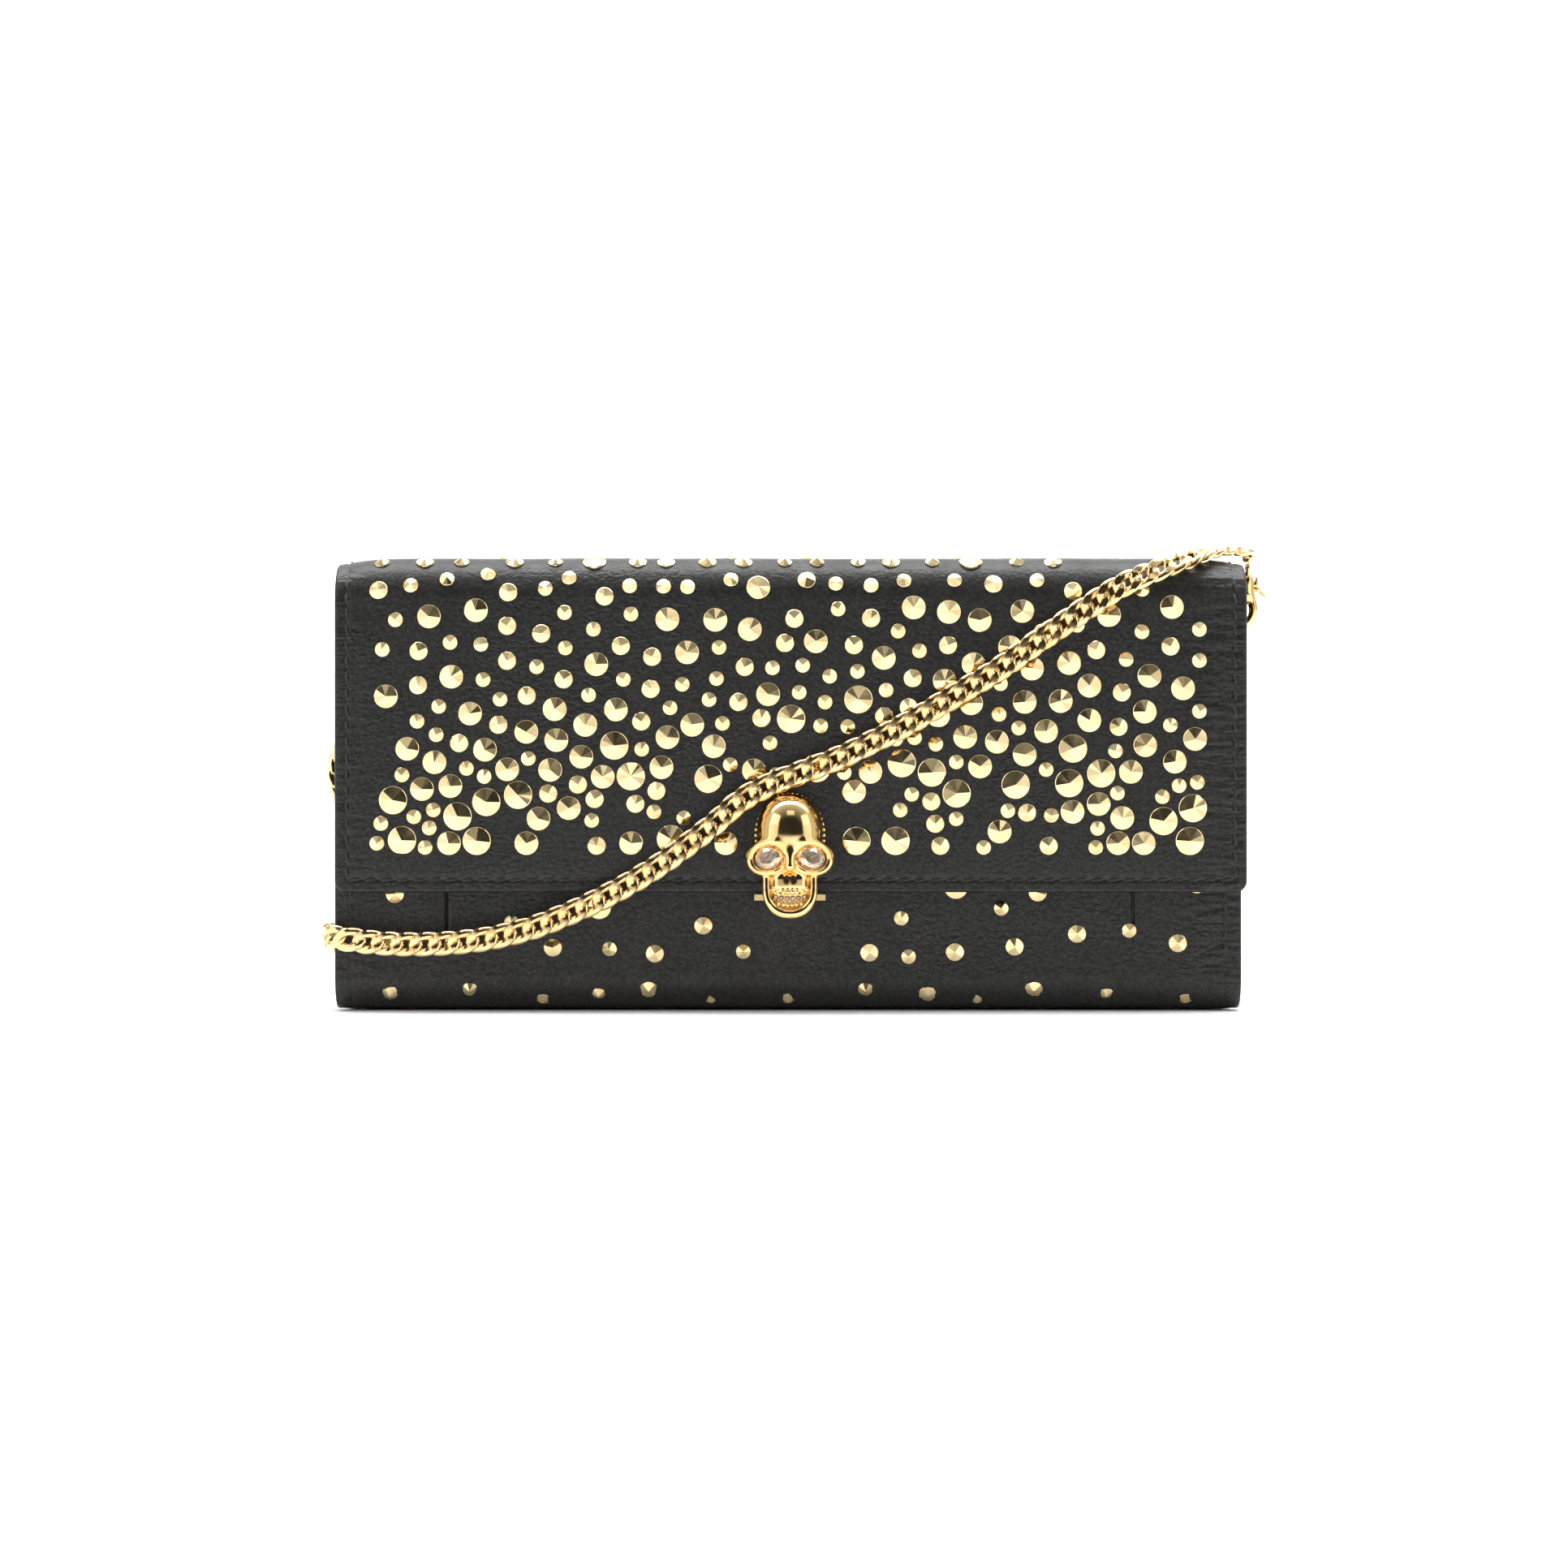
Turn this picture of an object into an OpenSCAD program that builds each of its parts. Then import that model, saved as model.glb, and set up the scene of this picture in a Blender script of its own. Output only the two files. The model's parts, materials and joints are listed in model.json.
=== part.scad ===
/* [Body] */
// Width of the wallet body
body_w = 200; // [190:1:204]
// Height of the wallet, from the table to the top of the flap
body_h = 100; // [98:0.5:102]
// Depth from the flap's face to the back panel's face
body_d = 30; // [30:0.5:31]
// Radius of the two top rolls of the flap
top_roll = 9; // [8:0.5:9]
// Radius of the two bottom rolls
bottom_roll = 7; // [6:0.5:7.5]
// Height of the leather above the table, which is the height of a foot stud
foot_h = 1.2; // [1:0.1:1.3]
// Thickness of the back, bottom and front leather
panel_t = 1.4; // [1.2:0.1:1.4]

/* [Flap] */
// Width of the flap
flap_w = 200.6; // [198:0.2:202]
// Sideways shift of the flap on the body
flap_shift = 0.6; // [0:0.1:0.8]
// Height of the flap's lower edge
flap_low = 26.3; // [26.2:0.1:27]
// Thickness of the flap's outer leather
skin_t = 1.1; // [0.9:0.1:1.1]
// Thickness of the stiffening board
board_t = 0.4; // [0.3:0.1:0.4]
// Thickness of the lining
lining_t = 0.5; // [0.4:0.1:0.5]
// Gap between the closed flap and the front panel
flap_gap = 1.6; // [1.5:0.1:1.8]

/* [Studs] */
// Radii of the four stud sizes
stud_radii = [3.1, 2.6, 2.0, 1.65]; // [1.5:0.05:3.2]
// Height of a stud
stud_h = 1.3; // [1:0.1:1.3]
// Start number of the scatter of the studs
stud_seed = 11; // [1:1:99]

/* [Inside] */
// Half width of the coin pocket
pocket_half = 86; // [84:1:86]
// Height of the coin pocket's zip
zip_z = 75; // [70:1:76]
// Distance between two teeth of one zip row
tooth_pitch = 2.4; // [2.2:0.1:3]

/* [Chain] */
// Width of the curb chain
chain_w = 5.5; // [4.5:0.1:5.5]
// Thickness of the curb chain
chain_t = 2.4; // [2:0.1:2.4]
// Radius of the chain coil, at the middle of its turns
coil_r = 21; // [20:0.5:21.5]

/* [Hidden] */

leather_colour = "#1c1b1a";
lining_colour = "#2b2927";
gold = "#d9a441";
pale_gold = "#e6cf96";
board_colour = "#6b5a44";
steel = "#9a9a9a";
crystal = "#c9a48a";

$fn = 48;
eps = 0.05;
round_fn = 96;

// planes and centres that the pieces share
back_y = body_d / 2;
flap_y = -body_d / 2;
flap_t = skin_t + board_t + lining_t;
front_y = flap_y + flap_t + flap_gap;
top_z = body_h - top_roll;
back_roll_y = back_y - top_roll;
front_roll_y = flap_y + top_roll;
low_roll_z = foot_h + bottom_roll;
low_back_y = back_y - bottom_roll;
low_front_y = front_y + bottom_roll;
front_top = 90;
corner_r = 4;

// hinge lines
spine_axis = [back_y - 0.1, top_z];
spine_bead = 1;
fold_axis = [front_roll_y, body_h - 0.6];
fold_bead = 0.6;
tilt_axis = [front_y + panel_t / 2, low_roll_z + 1.1];
tilt_bead = 0.7;
hinge_gap = 0.3;

// coin pocket and zip
pocket_y = 0.4;
pocket_half_d = 3.8;
pocket_wall = 0.8;
tooth_len = 1.5;
tooth_w = 0.9;
zip_run = 156;
slider_x = 72;
slider_len = 9;
pull_len = 13;
pin_z = zip_z + 4.2;
pin_r = 0.45;
run_gap = 0.1;

// skull and lock
skull_x = 0.4;
skull_low = 20.5;
skull_top = 48;
mouth_z = 25.3;
mouth_floor = -6.8;
lock_low = 21.5;
lock_top = 26.1;
lock_back = -13.4;
lock_front = -17.2;
tab_z = 25.2;
tab_out = 7.8;
post_z = 24.2;
post_r = 1.2;

// ring and clasp hardware
ring_bar_x = 92.8;
ring_z = 86.6;
ring_wire = 0.75;
ring_half = 3.6;
ring_len = 7;
ring_drop = 80;
tab_wide = 4.6;
loop_r = 1.7;
clasp_t = 2.6;
swivel_x = 2.8;
swivel_z = 11.7;

// the chain's route: from the right clasp, over the corner and across the front
run_route = [
    [102.6, 0.4, 100.2], [102.6, 0.3, 101], [101.8, -0.6, 101.8], [98.6, -3.4, 102], [94, -8, 101.6],
    [89, -12.6, 100], [81, -16.2, 97], [73, -17.5, 93.5], [64, -17.6, 87.7], [55, -17.6, 81.5],
    [46, -17.6, 75.2], [37, -17.6, 69.8], [28, -17.6, 64.4], [19, -17.6, 59.6], [10.5, -17.6, 55.6],
    [3.5, -17.6, 52.9], [-4, -17.6, 50], [-10, -17.6, 46.7], [-16, -17.6, 41.5], [-22, -17.6, 36.8],
    [-29, -17.6, 31.8], [-36, -17.6, 27.6], [-43, -17.6, 24], [-50, -17.6, 20.9], [-57, -17.6, 18.3],
    [-66, -17.6, 16.2], [-75, -17.6, 15.2], [-84, -17.6, 15], [-91, -17.5, 15.4], [-96.5, -16.6, 16]
];
// round the left edge, and down to the coil on the table behind
wrap_route = [
    [-97.6, -16.1, 16.1], [-100.6, -13.8, 16.5], [-102, -9, 16.8], [-102.3, -2, 16.8], [-102.4, 5, 16.3],
    [-102, 11.8, 15], [-100.4, 18, 12.2], [-98.6, 21.6, 8.6], [-96.6, 24.6, 4.8], [-94.4, 28, 2.2],
    [-92.2, 32, 1.4], [-90.6, 36.5, 1.3], [-90, 41.5, 1.3]
];
coil_turns = 4.75;
coil_front_y = 20.5;
coil_centre = [-90 + coil_r, coil_front_y + coil_r];
coil_pitch = 2.5;
// from the top of the coil, up behind the back panel and into the left clasp
tail_route = [
    [coil_centre.x, coil_front_y, 13.2], [-76, 20.2, 13.3], [-83, 19.6, 14.6], [-88.6, 18.9, 17.8],
    [-92.4, 18.4, 22.8], [-95, 18.2, 29], [-97, 18.2, 36], [-99, 18, 42.4], [-101.2, 16.4, 48.2],
    [-102.2, 13, 53.4], [-101.4, 8.4, 58], [-99.4, 4.2, 61.8], [-97.6, 1.6, 64.4], [-96.8, 0.6, 66.2]
];

// ---- shared shapes ----

// a drawing in Y and Z, made solid along X
module along_x(w, middle = 0) {
    translate([middle - w / 2, 0, 0]) rotate([90, 0, 90]) linear_extrude(w) children();
}

// a quarter band of a roll, between two radii, centred on c
module arc_band(c, r_out, r_in, from, to) {
    far = 2 * r_out;
    translate(c) intersection() {
        difference() {
            circle(r_out, $fn = round_fn);
            circle(r_in, $fn = round_fn);
        }
        polygon([[0, 0], far * [cos(from), sin(from)],
                 1.5 * far * [cos((from + to) / 2), sin((from + to) / 2)], far * [cos(to), sin(to)]]);
    }
}

// a strip from one corner to the other, in Y and Z
module strip(y0, y1, z0, z1) {
    translate([min(y0, y1), z0]) square([abs(y1 - y0), z1 - z0]);
}

// a block from its lowest to its highest corner
module block(low, high) {
    translate(low) cube(high - low);
}

// the outline seen from the front: square above, rounded at the two lower corners
module front_outline(w, low, high, r, middle = 0) {
    translate([middle, 40, 0]) rotate([90, 0, 0]) linear_extrude(80) union() {
        translate([-w / 2, low + r]) square([w, high - low - r]);
        translate([-w / 2 + r, low]) square([w - 2 * r, r + eps]);
        for (side = [-1, 1]) translate([side * (w / 2 - r), low + r]) circle(r);
    }
}

function unit(v) = v / norm(v);
function clamp(v, low, high) = min(max(v, low), high);

// the flat of the chain faces away from the wallet's core
function core_out(p) = let (core_x = clamp(p.x, -92, p.z > 90 ? 97 : 92))
    unit(p - [core_x, clamp(p.y, front_roll_y, back_roll_y), clamp(p.z, 10, top_z)]);
// on its way down to the table it turns to face up
function wrap_out(p) = let (k = clamp((38 - p.y) / 26, 0, 1))
    k == 1 ? core_out(p) : [-k, k / 2, 1.3 * (1 - k)];
// and on its way up from the coil it turns to face the back
function tail_out(p) = let (k = clamp((p.z - 13) / 16, 0, 1)) k * core_out(p) + [0, 0, 1 - k];
function heading(path, i) = unit(path[min(i + 1, len(path) - 1)] - path[max(i - 1, 0)]);

// a ring of points round the chain at one point of its route
function ring_at(p, ahead, out, a, b, sides) =
    let (side = unit(cross(ahead, out)), up = cross(side, ahead))
    [for (k = [0 : sides - 1]) p + a * cos(360 * k / sides) * side + b * sin(360 * k / sides) * up];

// one closed tube with an oval section along a route
module oval_tube(path, a, b, outs, sides = 8) {
    n = len(path);
    points = [for (i = [0 : n - 1]) each ring_at(path[i], heading(path, i), outs[i], a, b, sides)];
    skin = [for (i = [0 : n - 2]) for (k = [0 : sides - 1])
        let (j = (k + 1) % sides)
        [i * sides + k, (i + 1) * sides + k, (i + 1) * sides + j, i * sides + j]];
    triangles = [for (f = skin) each [[f[0], f[1], f[2]], [f[0], f[2], f[3]]]];
    near_end = [for (k = [0 : sides - 1]) k];
    far_end = [for (k = [sides - 1 : -1 : 0]) (n - 1) * sides + k];
    polyhedron(points, concat(triangles, [near_end, far_end]), convexity = 8);
}

module chain_tube(path, outs) {
    color(gold) oval_tube(path, chain_w / 2, chain_t / 2, outs);
}

// a round wire from one point to another
module wire(from, to, r) {
    d = to - from;
    translate(from) rotate([0, acos(d.z / norm(d)), atan2(d.y, d.x)]) cylinder(norm(d), r, r);
}

// ---- studs ----

// one stud, with its flat seat at the origin, pointing along +Z, and its shank below
module stud(r, h = stud_h) {
    rotate_extrude() polygon([[0, -0.9], [0.45, -0.9], [0.45, 0], [r, 0], [r, 0.3], [0.4, h], [0, h]]);
}

// the gap that a flap stud keeps from the others: small below, wide above
function stud_gap(s) = s < 52 ? 1.1 : s < 70 ? 1.1 + (s - 52) * 0.09 : 2.7 + (s - 70) * 0.1;

// which of the four sizes a stud takes, from its height and an even draw from 0 to 1
function size_at(s, draw) =
    s < 62 ? (draw < 0.2 ? 0 : draw < 0.53 ? 1 : draw < 0.68 ? 2 : 3)
    : s < 91 ? (draw < 0.36 ? 1 : draw < 0.6 ? 2 : 3)
    : draw < 0.08 ? 1 : draw < 0.5 ? 2 : 3;

flap_half = 92;
face_low = 34.5;
face_span = 66;
skull_clear = [11.5, 50.5];
stud_count = 300;

// an even first guess: each stud as [x, distance up the face, radius]
function first_studs() =
    let (draws = rands(0, 1, stud_count, stud_seed))
    [for (i = [0 : stud_count - 1])
        let (across = (0.5 + i * 0.7548777) % 1, up = (0.5 + i * 0.5698403) % 1,
             s = face_low + 2 + face_span * pow(up, 1.55), r = stud_radii[size_at(s, draws[i])])
        [(2 * across - 1) * (flap_half - r), s, r]];

// keeps a stud on its field and off the skull
function kept_on_field(p) =
    let (r = p[2], x = clamp(p.x, r - flap_half, flap_half - r),
         s = clamp(p.y, face_low + r, face_low + face_span),
         dx = x - skull_x, in_way = abs(dx) < skull_clear[0] + r && s < skull_clear[1] + r,
         beside = skull_clear[0] + r - abs(dx) < skull_clear[1] + r - s)
    !in_way ? [x, s, r] : beside ? [skull_x + sign(dx + 0.001) * (skull_clear[0] + r), s, r]
    : [x, skull_clear[1] + r, r];

// pushes each stud away from those that crowd it
function pushed(all, p) =
    let (pushes = [for (q = all) if (abs(p.x - q.x) < 9 && abs(p.y - q.y) < 9 && q != p)
             let (d = [p.x - q.x, p.y - q.y], want = p[2] + q[2] + stud_gap(p.y), over = want - norm(d))
             if (over > 0) 0.5 * over * unit(d)],
         total = len(pushes) == 0 ? [0, 0] : [for (q = pushes) 1] * pushes)
    kept_on_field([p.x + total.x, p.y + total.y, p[2]]);
function spread(all, rounds) = rounds == 0 ? all : spread([for (p = all) pushed(all, p)], rounds - 1);

// all the studs of the flap, without those that stay too close or lie under the chain on the roll
function flap_studs() =
    let (all = spread(first_studs(), 16), least_gap = 0.35)
    [for (i = [0 : len(all) - 1])
        let (p = all[i],
             near = [for (j = [0 : 1 : i - 1])
                 let (q = all[j])
                 if (norm([p.x - q.x, p.y - q.y]) < p[2] + q[2] + least_gap) 1])
        if (len(near) == 0 && (p.x < 64 || p.y < 93)) p];

// puts a stud on the flap's face or round its top roll
module on_flap(x, s) {
    turn = max(0, s - top_z) / top_roll * 180 / PI;
    translate([x, front_roll_y, min(s, top_z)]) rotate([-turn, 0, 0])
        translate([0, -top_roll, 0]) rotate([90, 0, 0]) children();
}

module flap_studs_of(size) {
    color(pale_gold) for (q = flap_studs()) {
        if (q[2] == stud_radii[size]) on_flap(q[0], q[1]) stud(q[2]);
    }
}

function throws(n, x_half, s0, s1, seed) =
    let (xs = rands(-x_half, x_half, n, seed), ss = rands(s0, s1, n, seed + 1))
    [for (i = [0 : n - 1]) [xs[i], ss[i]]];

// the front panel's scatter, as [x, height, radius]
function front_studs() =
    let (taken = [[skull_x, 26, 9.5], [-75.6, 26, 1.5], [75.8, 26, 1.5]],
         big = scatter_flat(throws(60, 86, 14.5, 28, stud_seed + 8), stud_radii[1], 22, taken),
         medium = scatter_flat(throws(300, 92, 12.5, 32, stud_seed + 10), stud_radii[2], 7, big),
         all = scatter_flat(throws(500, 93, 12, 34, stud_seed + 12), stud_radii[3], 5, medium))
    [for (i = [len(taken) : len(all) - 1]) all[i]];
function scatter_flat(places, r, gap, placed, i = 0) =
    i >= len(places) ? placed
    : let (x = places[i][0], s = places[i][1],
           fits = len([for (q = placed) if (norm([x - q[0], s - q[1]]) < r + q[2] + gap) 1]) == 0)
      scatter_flat(places, r, gap, fits ? concat(placed, [[x, s, r]]) : placed, i + 1);

module studs_extra_large() { flap_studs_of(0); }
module studs_large() { flap_studs_of(1); }
module studs_medium() { flap_studs_of(2); }
module studs_small() { flap_studs_of(3); }

module studs_front() {
    color(pale_gold) for (q = front_studs()) {
        translate([q[0], front_y, q[1]]) rotate([90, 0, 0]) stud(q[2]);
    }
}

module studs_spine() {
    spacing = 17;
    color(pale_gold) for (i = [-5 : 4]) {
        translate([i * spacing + 4, i % 2 == 0 ? 1.6 : -1.8, body_h]) stud(stud_radii[2 + abs(i) % 2]);
    }
}

module studs_back() {
    color(pale_gold) for (row = [0 : 4], column = [-4 : 4]) {
        x = column * 20 + (row % 2) * 10 - 4;
        if (abs(x) < 88) {
            size = 1 + (row + column + 4) % 3;
            translate([x, back_y, 18 + row * 14]) rotate([-90, 0, 0]) stud(stud_radii[size]);
        }
    }
}

// a foot stud stands on its flat tip
module foot_stud(x, y) {
    translate([x, y, foot_h]) rotate([180, 0, 0]) stud(stud_radii[2], foot_h);
}

module studs_base() {
    color(pale_gold) union() {
        foot_stud(0, 0);
        for (x = [-84, -56, -28, 28, 56, 84]) foot_stud(x, low_front_y + 0.4);
        for (x = [-70, -42, 42, 70]) foot_stud(x, low_back_y - 0.8);
    }
}

// small studs along the front bottom roll
module studs_roll() {
    color(pale_gold) for (i = [-6 : 6]) {
        turn = [28, 52, 38][abs(i * 2 + 1) % 3];
        translate([i * 14.3 + 3 * sin(i * 67), low_front_y, low_roll_z]) rotate([turn, 0, 0])
            translate([0, -bottom_roll, 0]) rotate([90, 0, 0]) stud(stud_radii[2 + abs(i) % 2]);
    }
}

// ---- back, bottom and inside ----

back_w = body_w - 2;
module back_panel() {
    color(leather_colour) intersection() {
        along_x(back_w) union() {
            strip(back_y - panel_t, back_y, low_roll_z, spine_axis.y - spine_bead - hinge_gap);
            arc_band([low_back_y, low_roll_z], bottom_roll, bottom_roll - panel_t, -90, 0);
        }
        front_outline(back_w, foot_h, body_h, corner_r);
    }
}

module bottom_panel() {
    color(leather_colour) intersection() {
        along_x(body_w) union() {
            strip(low_front_y, low_back_y - eps, foot_h, foot_h + panel_t);
            arc_band([low_front_y, low_roll_z], bottom_roll, bottom_roll - panel_t, 180, 270);
        }
        front_outline(body_w, foot_h, body_h, corner_r);
    }
}

lining_back = back_y - panel_t;
module back_lining() {
    color(lining_colour) block([-96, lining_back - lining_t, 9.5], [96, lining_back, 88.5]);
}

leaf_t = 0.5;
leaf_step = 12;
leaves_back = lining_back - lining_t;
module card_leaves_back() {
    color(lining_colour) for (side = [-1, 1]) union() {
        for (i = [0 : 3]) {
            block([side * 45 - 42, leaves_back - leaf_t * (i + 1), 12],
                  [side * 45 + 42, leaves_back - leaf_t * i, 84 - leaf_step * i]);
        }
    }
}

wall_back = pocket_y + pocket_half_d;
wall_front = pocket_y - pocket_half_d;
module coin_pocket_back() {
    color(lining_colour) block([-pocket_half, wall_back - pocket_wall, 5], [pocket_half, wall_back, zip_z]);
}

module coin_pocket_front() {
    color(lining_colour) block([-pocket_half, wall_front, 5], [pocket_half, wall_front + pocket_wall, zip_z]);
}

module coin_pocket_base() {
    color(lining_colour) block([-pocket_half, wall_front, 4.2], [pocket_half, wall_back, 5]);
}

ends_top = 88;
module coin_pocket_ends() {
    color(leather_colour) for (side = [-1, 1]) {
        translate([side * (pocket_half + 0.45), pocket_y, (4.2 + ends_top) / 2])
            cube([0.9, 2 * pocket_half_d, ends_top - 4.2], center = true);
    }
}

tooth_half = tooth_len - 0.2;
module zip_tapes() {
    color(lining_colour) union() {
        block([-pocket_half, wall_front, zip_z], [pocket_half, pocket_y - tooth_half, zip_z + 0.6]);
        block([-pocket_half, pocket_y + tooth_half, zip_z], [pocket_half, wall_back, zip_z + 0.6]);
    }
}

// two rows of teeth that lie between each other
module zip_teeth() {
    count = floor((zip_run - 6) / tooth_pitch);
    color(gold) for (i = [0 : count - 1]) {
        x = -zip_run / 2 + 2 + i * tooth_pitch;
        block([x, pocket_y - tooth_half, zip_z + 0.1], [x + tooth_w, pocket_y + 0.2, zip_z + 1.5]);
        translate([tooth_pitch / 2, 0, 0])
            block([x, pocket_y - 0.2, zip_z + 0.1], [x + tooth_w, pocket_y + tooth_half, zip_z + 1.5]);
    }
}

module zip_stops() {
    color(gold) for (side = [-1, 1], row = [-1, 1]) {
        translate([side * (zip_run / 2 + 3.2), pocket_y + row * 2.1, zip_z + 1.2])
            cube([1.6, 1.4, 1.2], center = true);
    }
}

// two plates that the teeth run between, a wedge and the posts of the pull's pin
module zip_slider() {
    top = zip_z + 1.9;
    low = zip_z - 0.4;
    color(gold) union() {
        for (z = [top, low - 0.9]) {
            block([slider_x - slider_len / 2, pocket_y - 2.5, z],
                  [slider_x + slider_len / 2, pocket_y + 2.5, z + 0.9]);
        }
        block([slider_x + slider_len / 2 - 2, pocket_y - 0.8, low - eps],
              [slider_x + slider_len / 2, pocket_y + 0.8, top + eps]);
        for (side = [-1, 1]) translate([slider_x, pocket_y + side * 1.7, 0]) {
            block([-1, -0.4, top + 0.8], [1, 0.4, pin_z]);
            translate([0, 0.4, pin_z]) rotate([90, 0, 0]) cylinder(0.8, 1, 1);
        }
        translate([slider_x, pocket_y + 1.4, pin_z]) rotate([90, 0, 0]) cylinder(2.8, pin_r, pin_r);
    }
}

// the pull lies flat along the zip, and turns over on its pin
module zip_pull() {
    color(gold) translate([slider_x, pocket_y, pin_z]) difference() {
        union() {
            translate([0, 1.1, 0]) rotate([90, 0, 0]) cylinder(2.2, 1.15, 1.15);
            block([-pull_len + 2.4, -1.1, -0.5], [0, 1.1, 0.5]);
            translate([-pull_len + 2.4, 0, -0.5]) cylinder(1, 2.3, 2.3);
        }
        translate([0, 2, 0]) rotate([90, 0, 0]) cylinder(4, pin_r + run_gap, pin_r + run_gap);
        translate([-pull_len + 2.4, 0, -1]) cylinder(2, 1.1, 1.1);
    }
}

// leather sides that close the two compartments; the sides of the wallet fold in between them
gusset_t = 0.8;
module gusset_pair(outer, inner, low, high) {
    for (side = [-1, 1]) scale([side, 1, 1]) translate([0, 0, low]) linear_extrude(high - low)
        polygon([outer, inner, inner - [gusset_t, 0], outer - [gusset_t, 0]]);
}

module gussets_back() {
    color(leather_colour)
        gusset_pair([98.2, leaves_back - 0.1], [pocket_half + 1.9, wall_back + 0.1], 9.5, 86);
}

front_inner = front_y + skin_t + board_t + lining_t;
module gussets_front() {
    color(leather_colour)
        gusset_pair([98.6, front_inner + 0.1], [pocket_half + 1.9, wall_front - 0.1], 10.5, 86);
}

// leather loops that hold the D rings, one at each end of the coin pocket
module ring_tab_shape() {
    plate = pocket_half + 0.9;
    translate([0, pocket_y + tab_wide / 2, 0]) rotate([90, 0, 0]) linear_extrude(tab_wide) difference() {
        union() {
            translate([plate, 74]) square([1.2, ring_z + loop_r - 74]);
            translate([ring_bar_x, ring_z]) circle(loop_r);
            translate([plate, ring_z - loop_r]) square([ring_bar_x - plate, 2 * loop_r]);
        }
        translate([ring_bar_x, ring_z]) circle(ring_wire + run_gap);
    }
}

module ring_tabs() {
    color(leather_colour) union() {
        ring_tab_shape();
        mirror([1, 0, 0]) ring_tab_shape();
    }
}

module ring_rivets() {
    color(gold) for (side = [-1, 1]) {
        translate([side * (pocket_half + 2.1), pocket_y, 78.5]) rotate([0, side * 90, 0]) stud(1.8, 0.9);
    }
}

// ---- front ----

module front_panel() {
    slit_w = 0.5;
    color(leather_colour) intersection() {
        difference() {
            along_x(body_w) union() {
                strip(front_y, front_y + skin_t, tilt_axis.y, front_top);
                translate(tilt_axis) circle(tilt_bead);
            }
            for (x = [-75.6, 75.8]) block([x, front_y - 1, 15.3], [x + slit_w, front_y + 2, 86]);
        }
        front_outline(body_w, foot_h, body_h, corner_r);
    }
}

// half the sides of the catch's back plate, which lies in a window of the board
backplate_half = [4, 2.5];
module front_board() {
    y = front_y + skin_t;
    gap = 0.1;
    color(board_colour) difference() {
        block([-98, y, 11], [98, y + board_t, front_top - 1]);
        block([skull_x - backplate_half.x - gap, y - 1, post_z - backplate_half.y - gap],
              [skull_x + backplate_half.x + gap, y + 1, post_z + backplate_half.y + gap]);
    }
}

module front_lining() {
    y = front_y + skin_t + board_t;
    color(lining_colour) block([-98, y, 10.5], [98, y + lining_t, front_top - 0.5]);
}

module card_leaves_front() {
    t = 0.4;
    color(lining_colour) for (side = [-1, 1]) union() {
        for (i = [0 : 2]) {
            block([side * 45 - 42, front_inner + t * i, 12],
                  [side * 45 + 42, front_inner + t * (i + 1), 80 - leaf_step * i]);
        }
    }
}

// the post that the skull lock closes over, with a plate each side of the leather
module catch_plate() {
    color(gold) difference() {
        block([skull_x - 4.5, front_y - 0.8, post_z - 3], [skull_x + 4.5, front_y, post_z + 3]);
        translate([skull_x, front_y + 1, post_z]) rotate([90, 0, 0]) cylinder(3, post_r, post_r);
    }
}

module catch_post() {
    color(gold) union() {
        translate([skull_x, front_y, post_z]) rotate([90, 0, 0]) cylinder(3.8, post_r, post_r);
        shank = skin_t + 0.2;
        translate([skull_x, front_y + shank, post_z]) rotate([90, 0, 0]) cylinder(shank + eps, 0.6, 0.6);
    }
}

module catch_backplate() {
    y = front_y + skin_t;
    color(steel) block([skull_x - backplate_half.x, y, post_z - backplate_half.y],
                       [skull_x + backplate_half.x, y + 0.3, post_z + backplate_half.y]);
}

// ---- spine and flap ----

module spine_leather() {
    color(leather_colour) along_x(flap_w, flap_shift) union() {
        translate(spine_axis) circle(spine_bead);
        arc_band([back_roll_y, top_z], top_roll, top_roll - skin_t, 0, 90);
        strip(fold_axis.x + fold_bead + hinge_gap, back_roll_y, body_h - skin_t, body_h);
    }
}

module spine_lining() {
    under = skin_t + board_t + lining_t;
    color(lining_colour) along_x(flap_w - 2, flap_shift) union() {
        arc_band([back_roll_y, top_z], top_roll - skin_t, top_roll - under, 10, 90);
        strip(fold_axis.x + fold_bead + hinge_gap, back_roll_y, body_h - under, body_h - skin_t);
    }
}

module flap_leather() {
    color(leather_colour) intersection() {
        along_x(flap_w, flap_shift) union() {
            translate(fold_axis) circle(fold_bead);
            arc_band([front_roll_y, top_z], top_roll, top_roll - skin_t, 90, 180);
            strip(flap_y, flap_y + skin_t, flap_low, top_z);
        }
        front_outline(flap_w, flap_low, body_h, 2.5, flap_shift);
    }
}

module flap_board() {
    y = flap_y + skin_t;
    color(board_colour) block([flap_shift - 97, y, 30], [flap_shift + 97, y + board_t, top_z - 1]);
}

module flap_lining() {
    outer = skin_t + board_t;
    color(lining_colour) along_x(flap_w - 2, flap_shift) union() {
        arc_band([front_roll_y, top_z], top_roll - outer, top_roll - flap_t, 98, 180);
        strip(flap_y + outer, flap_y + flap_t, flap_low + 1, top_z);
    }
}

// ---- skull lock ----

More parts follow.
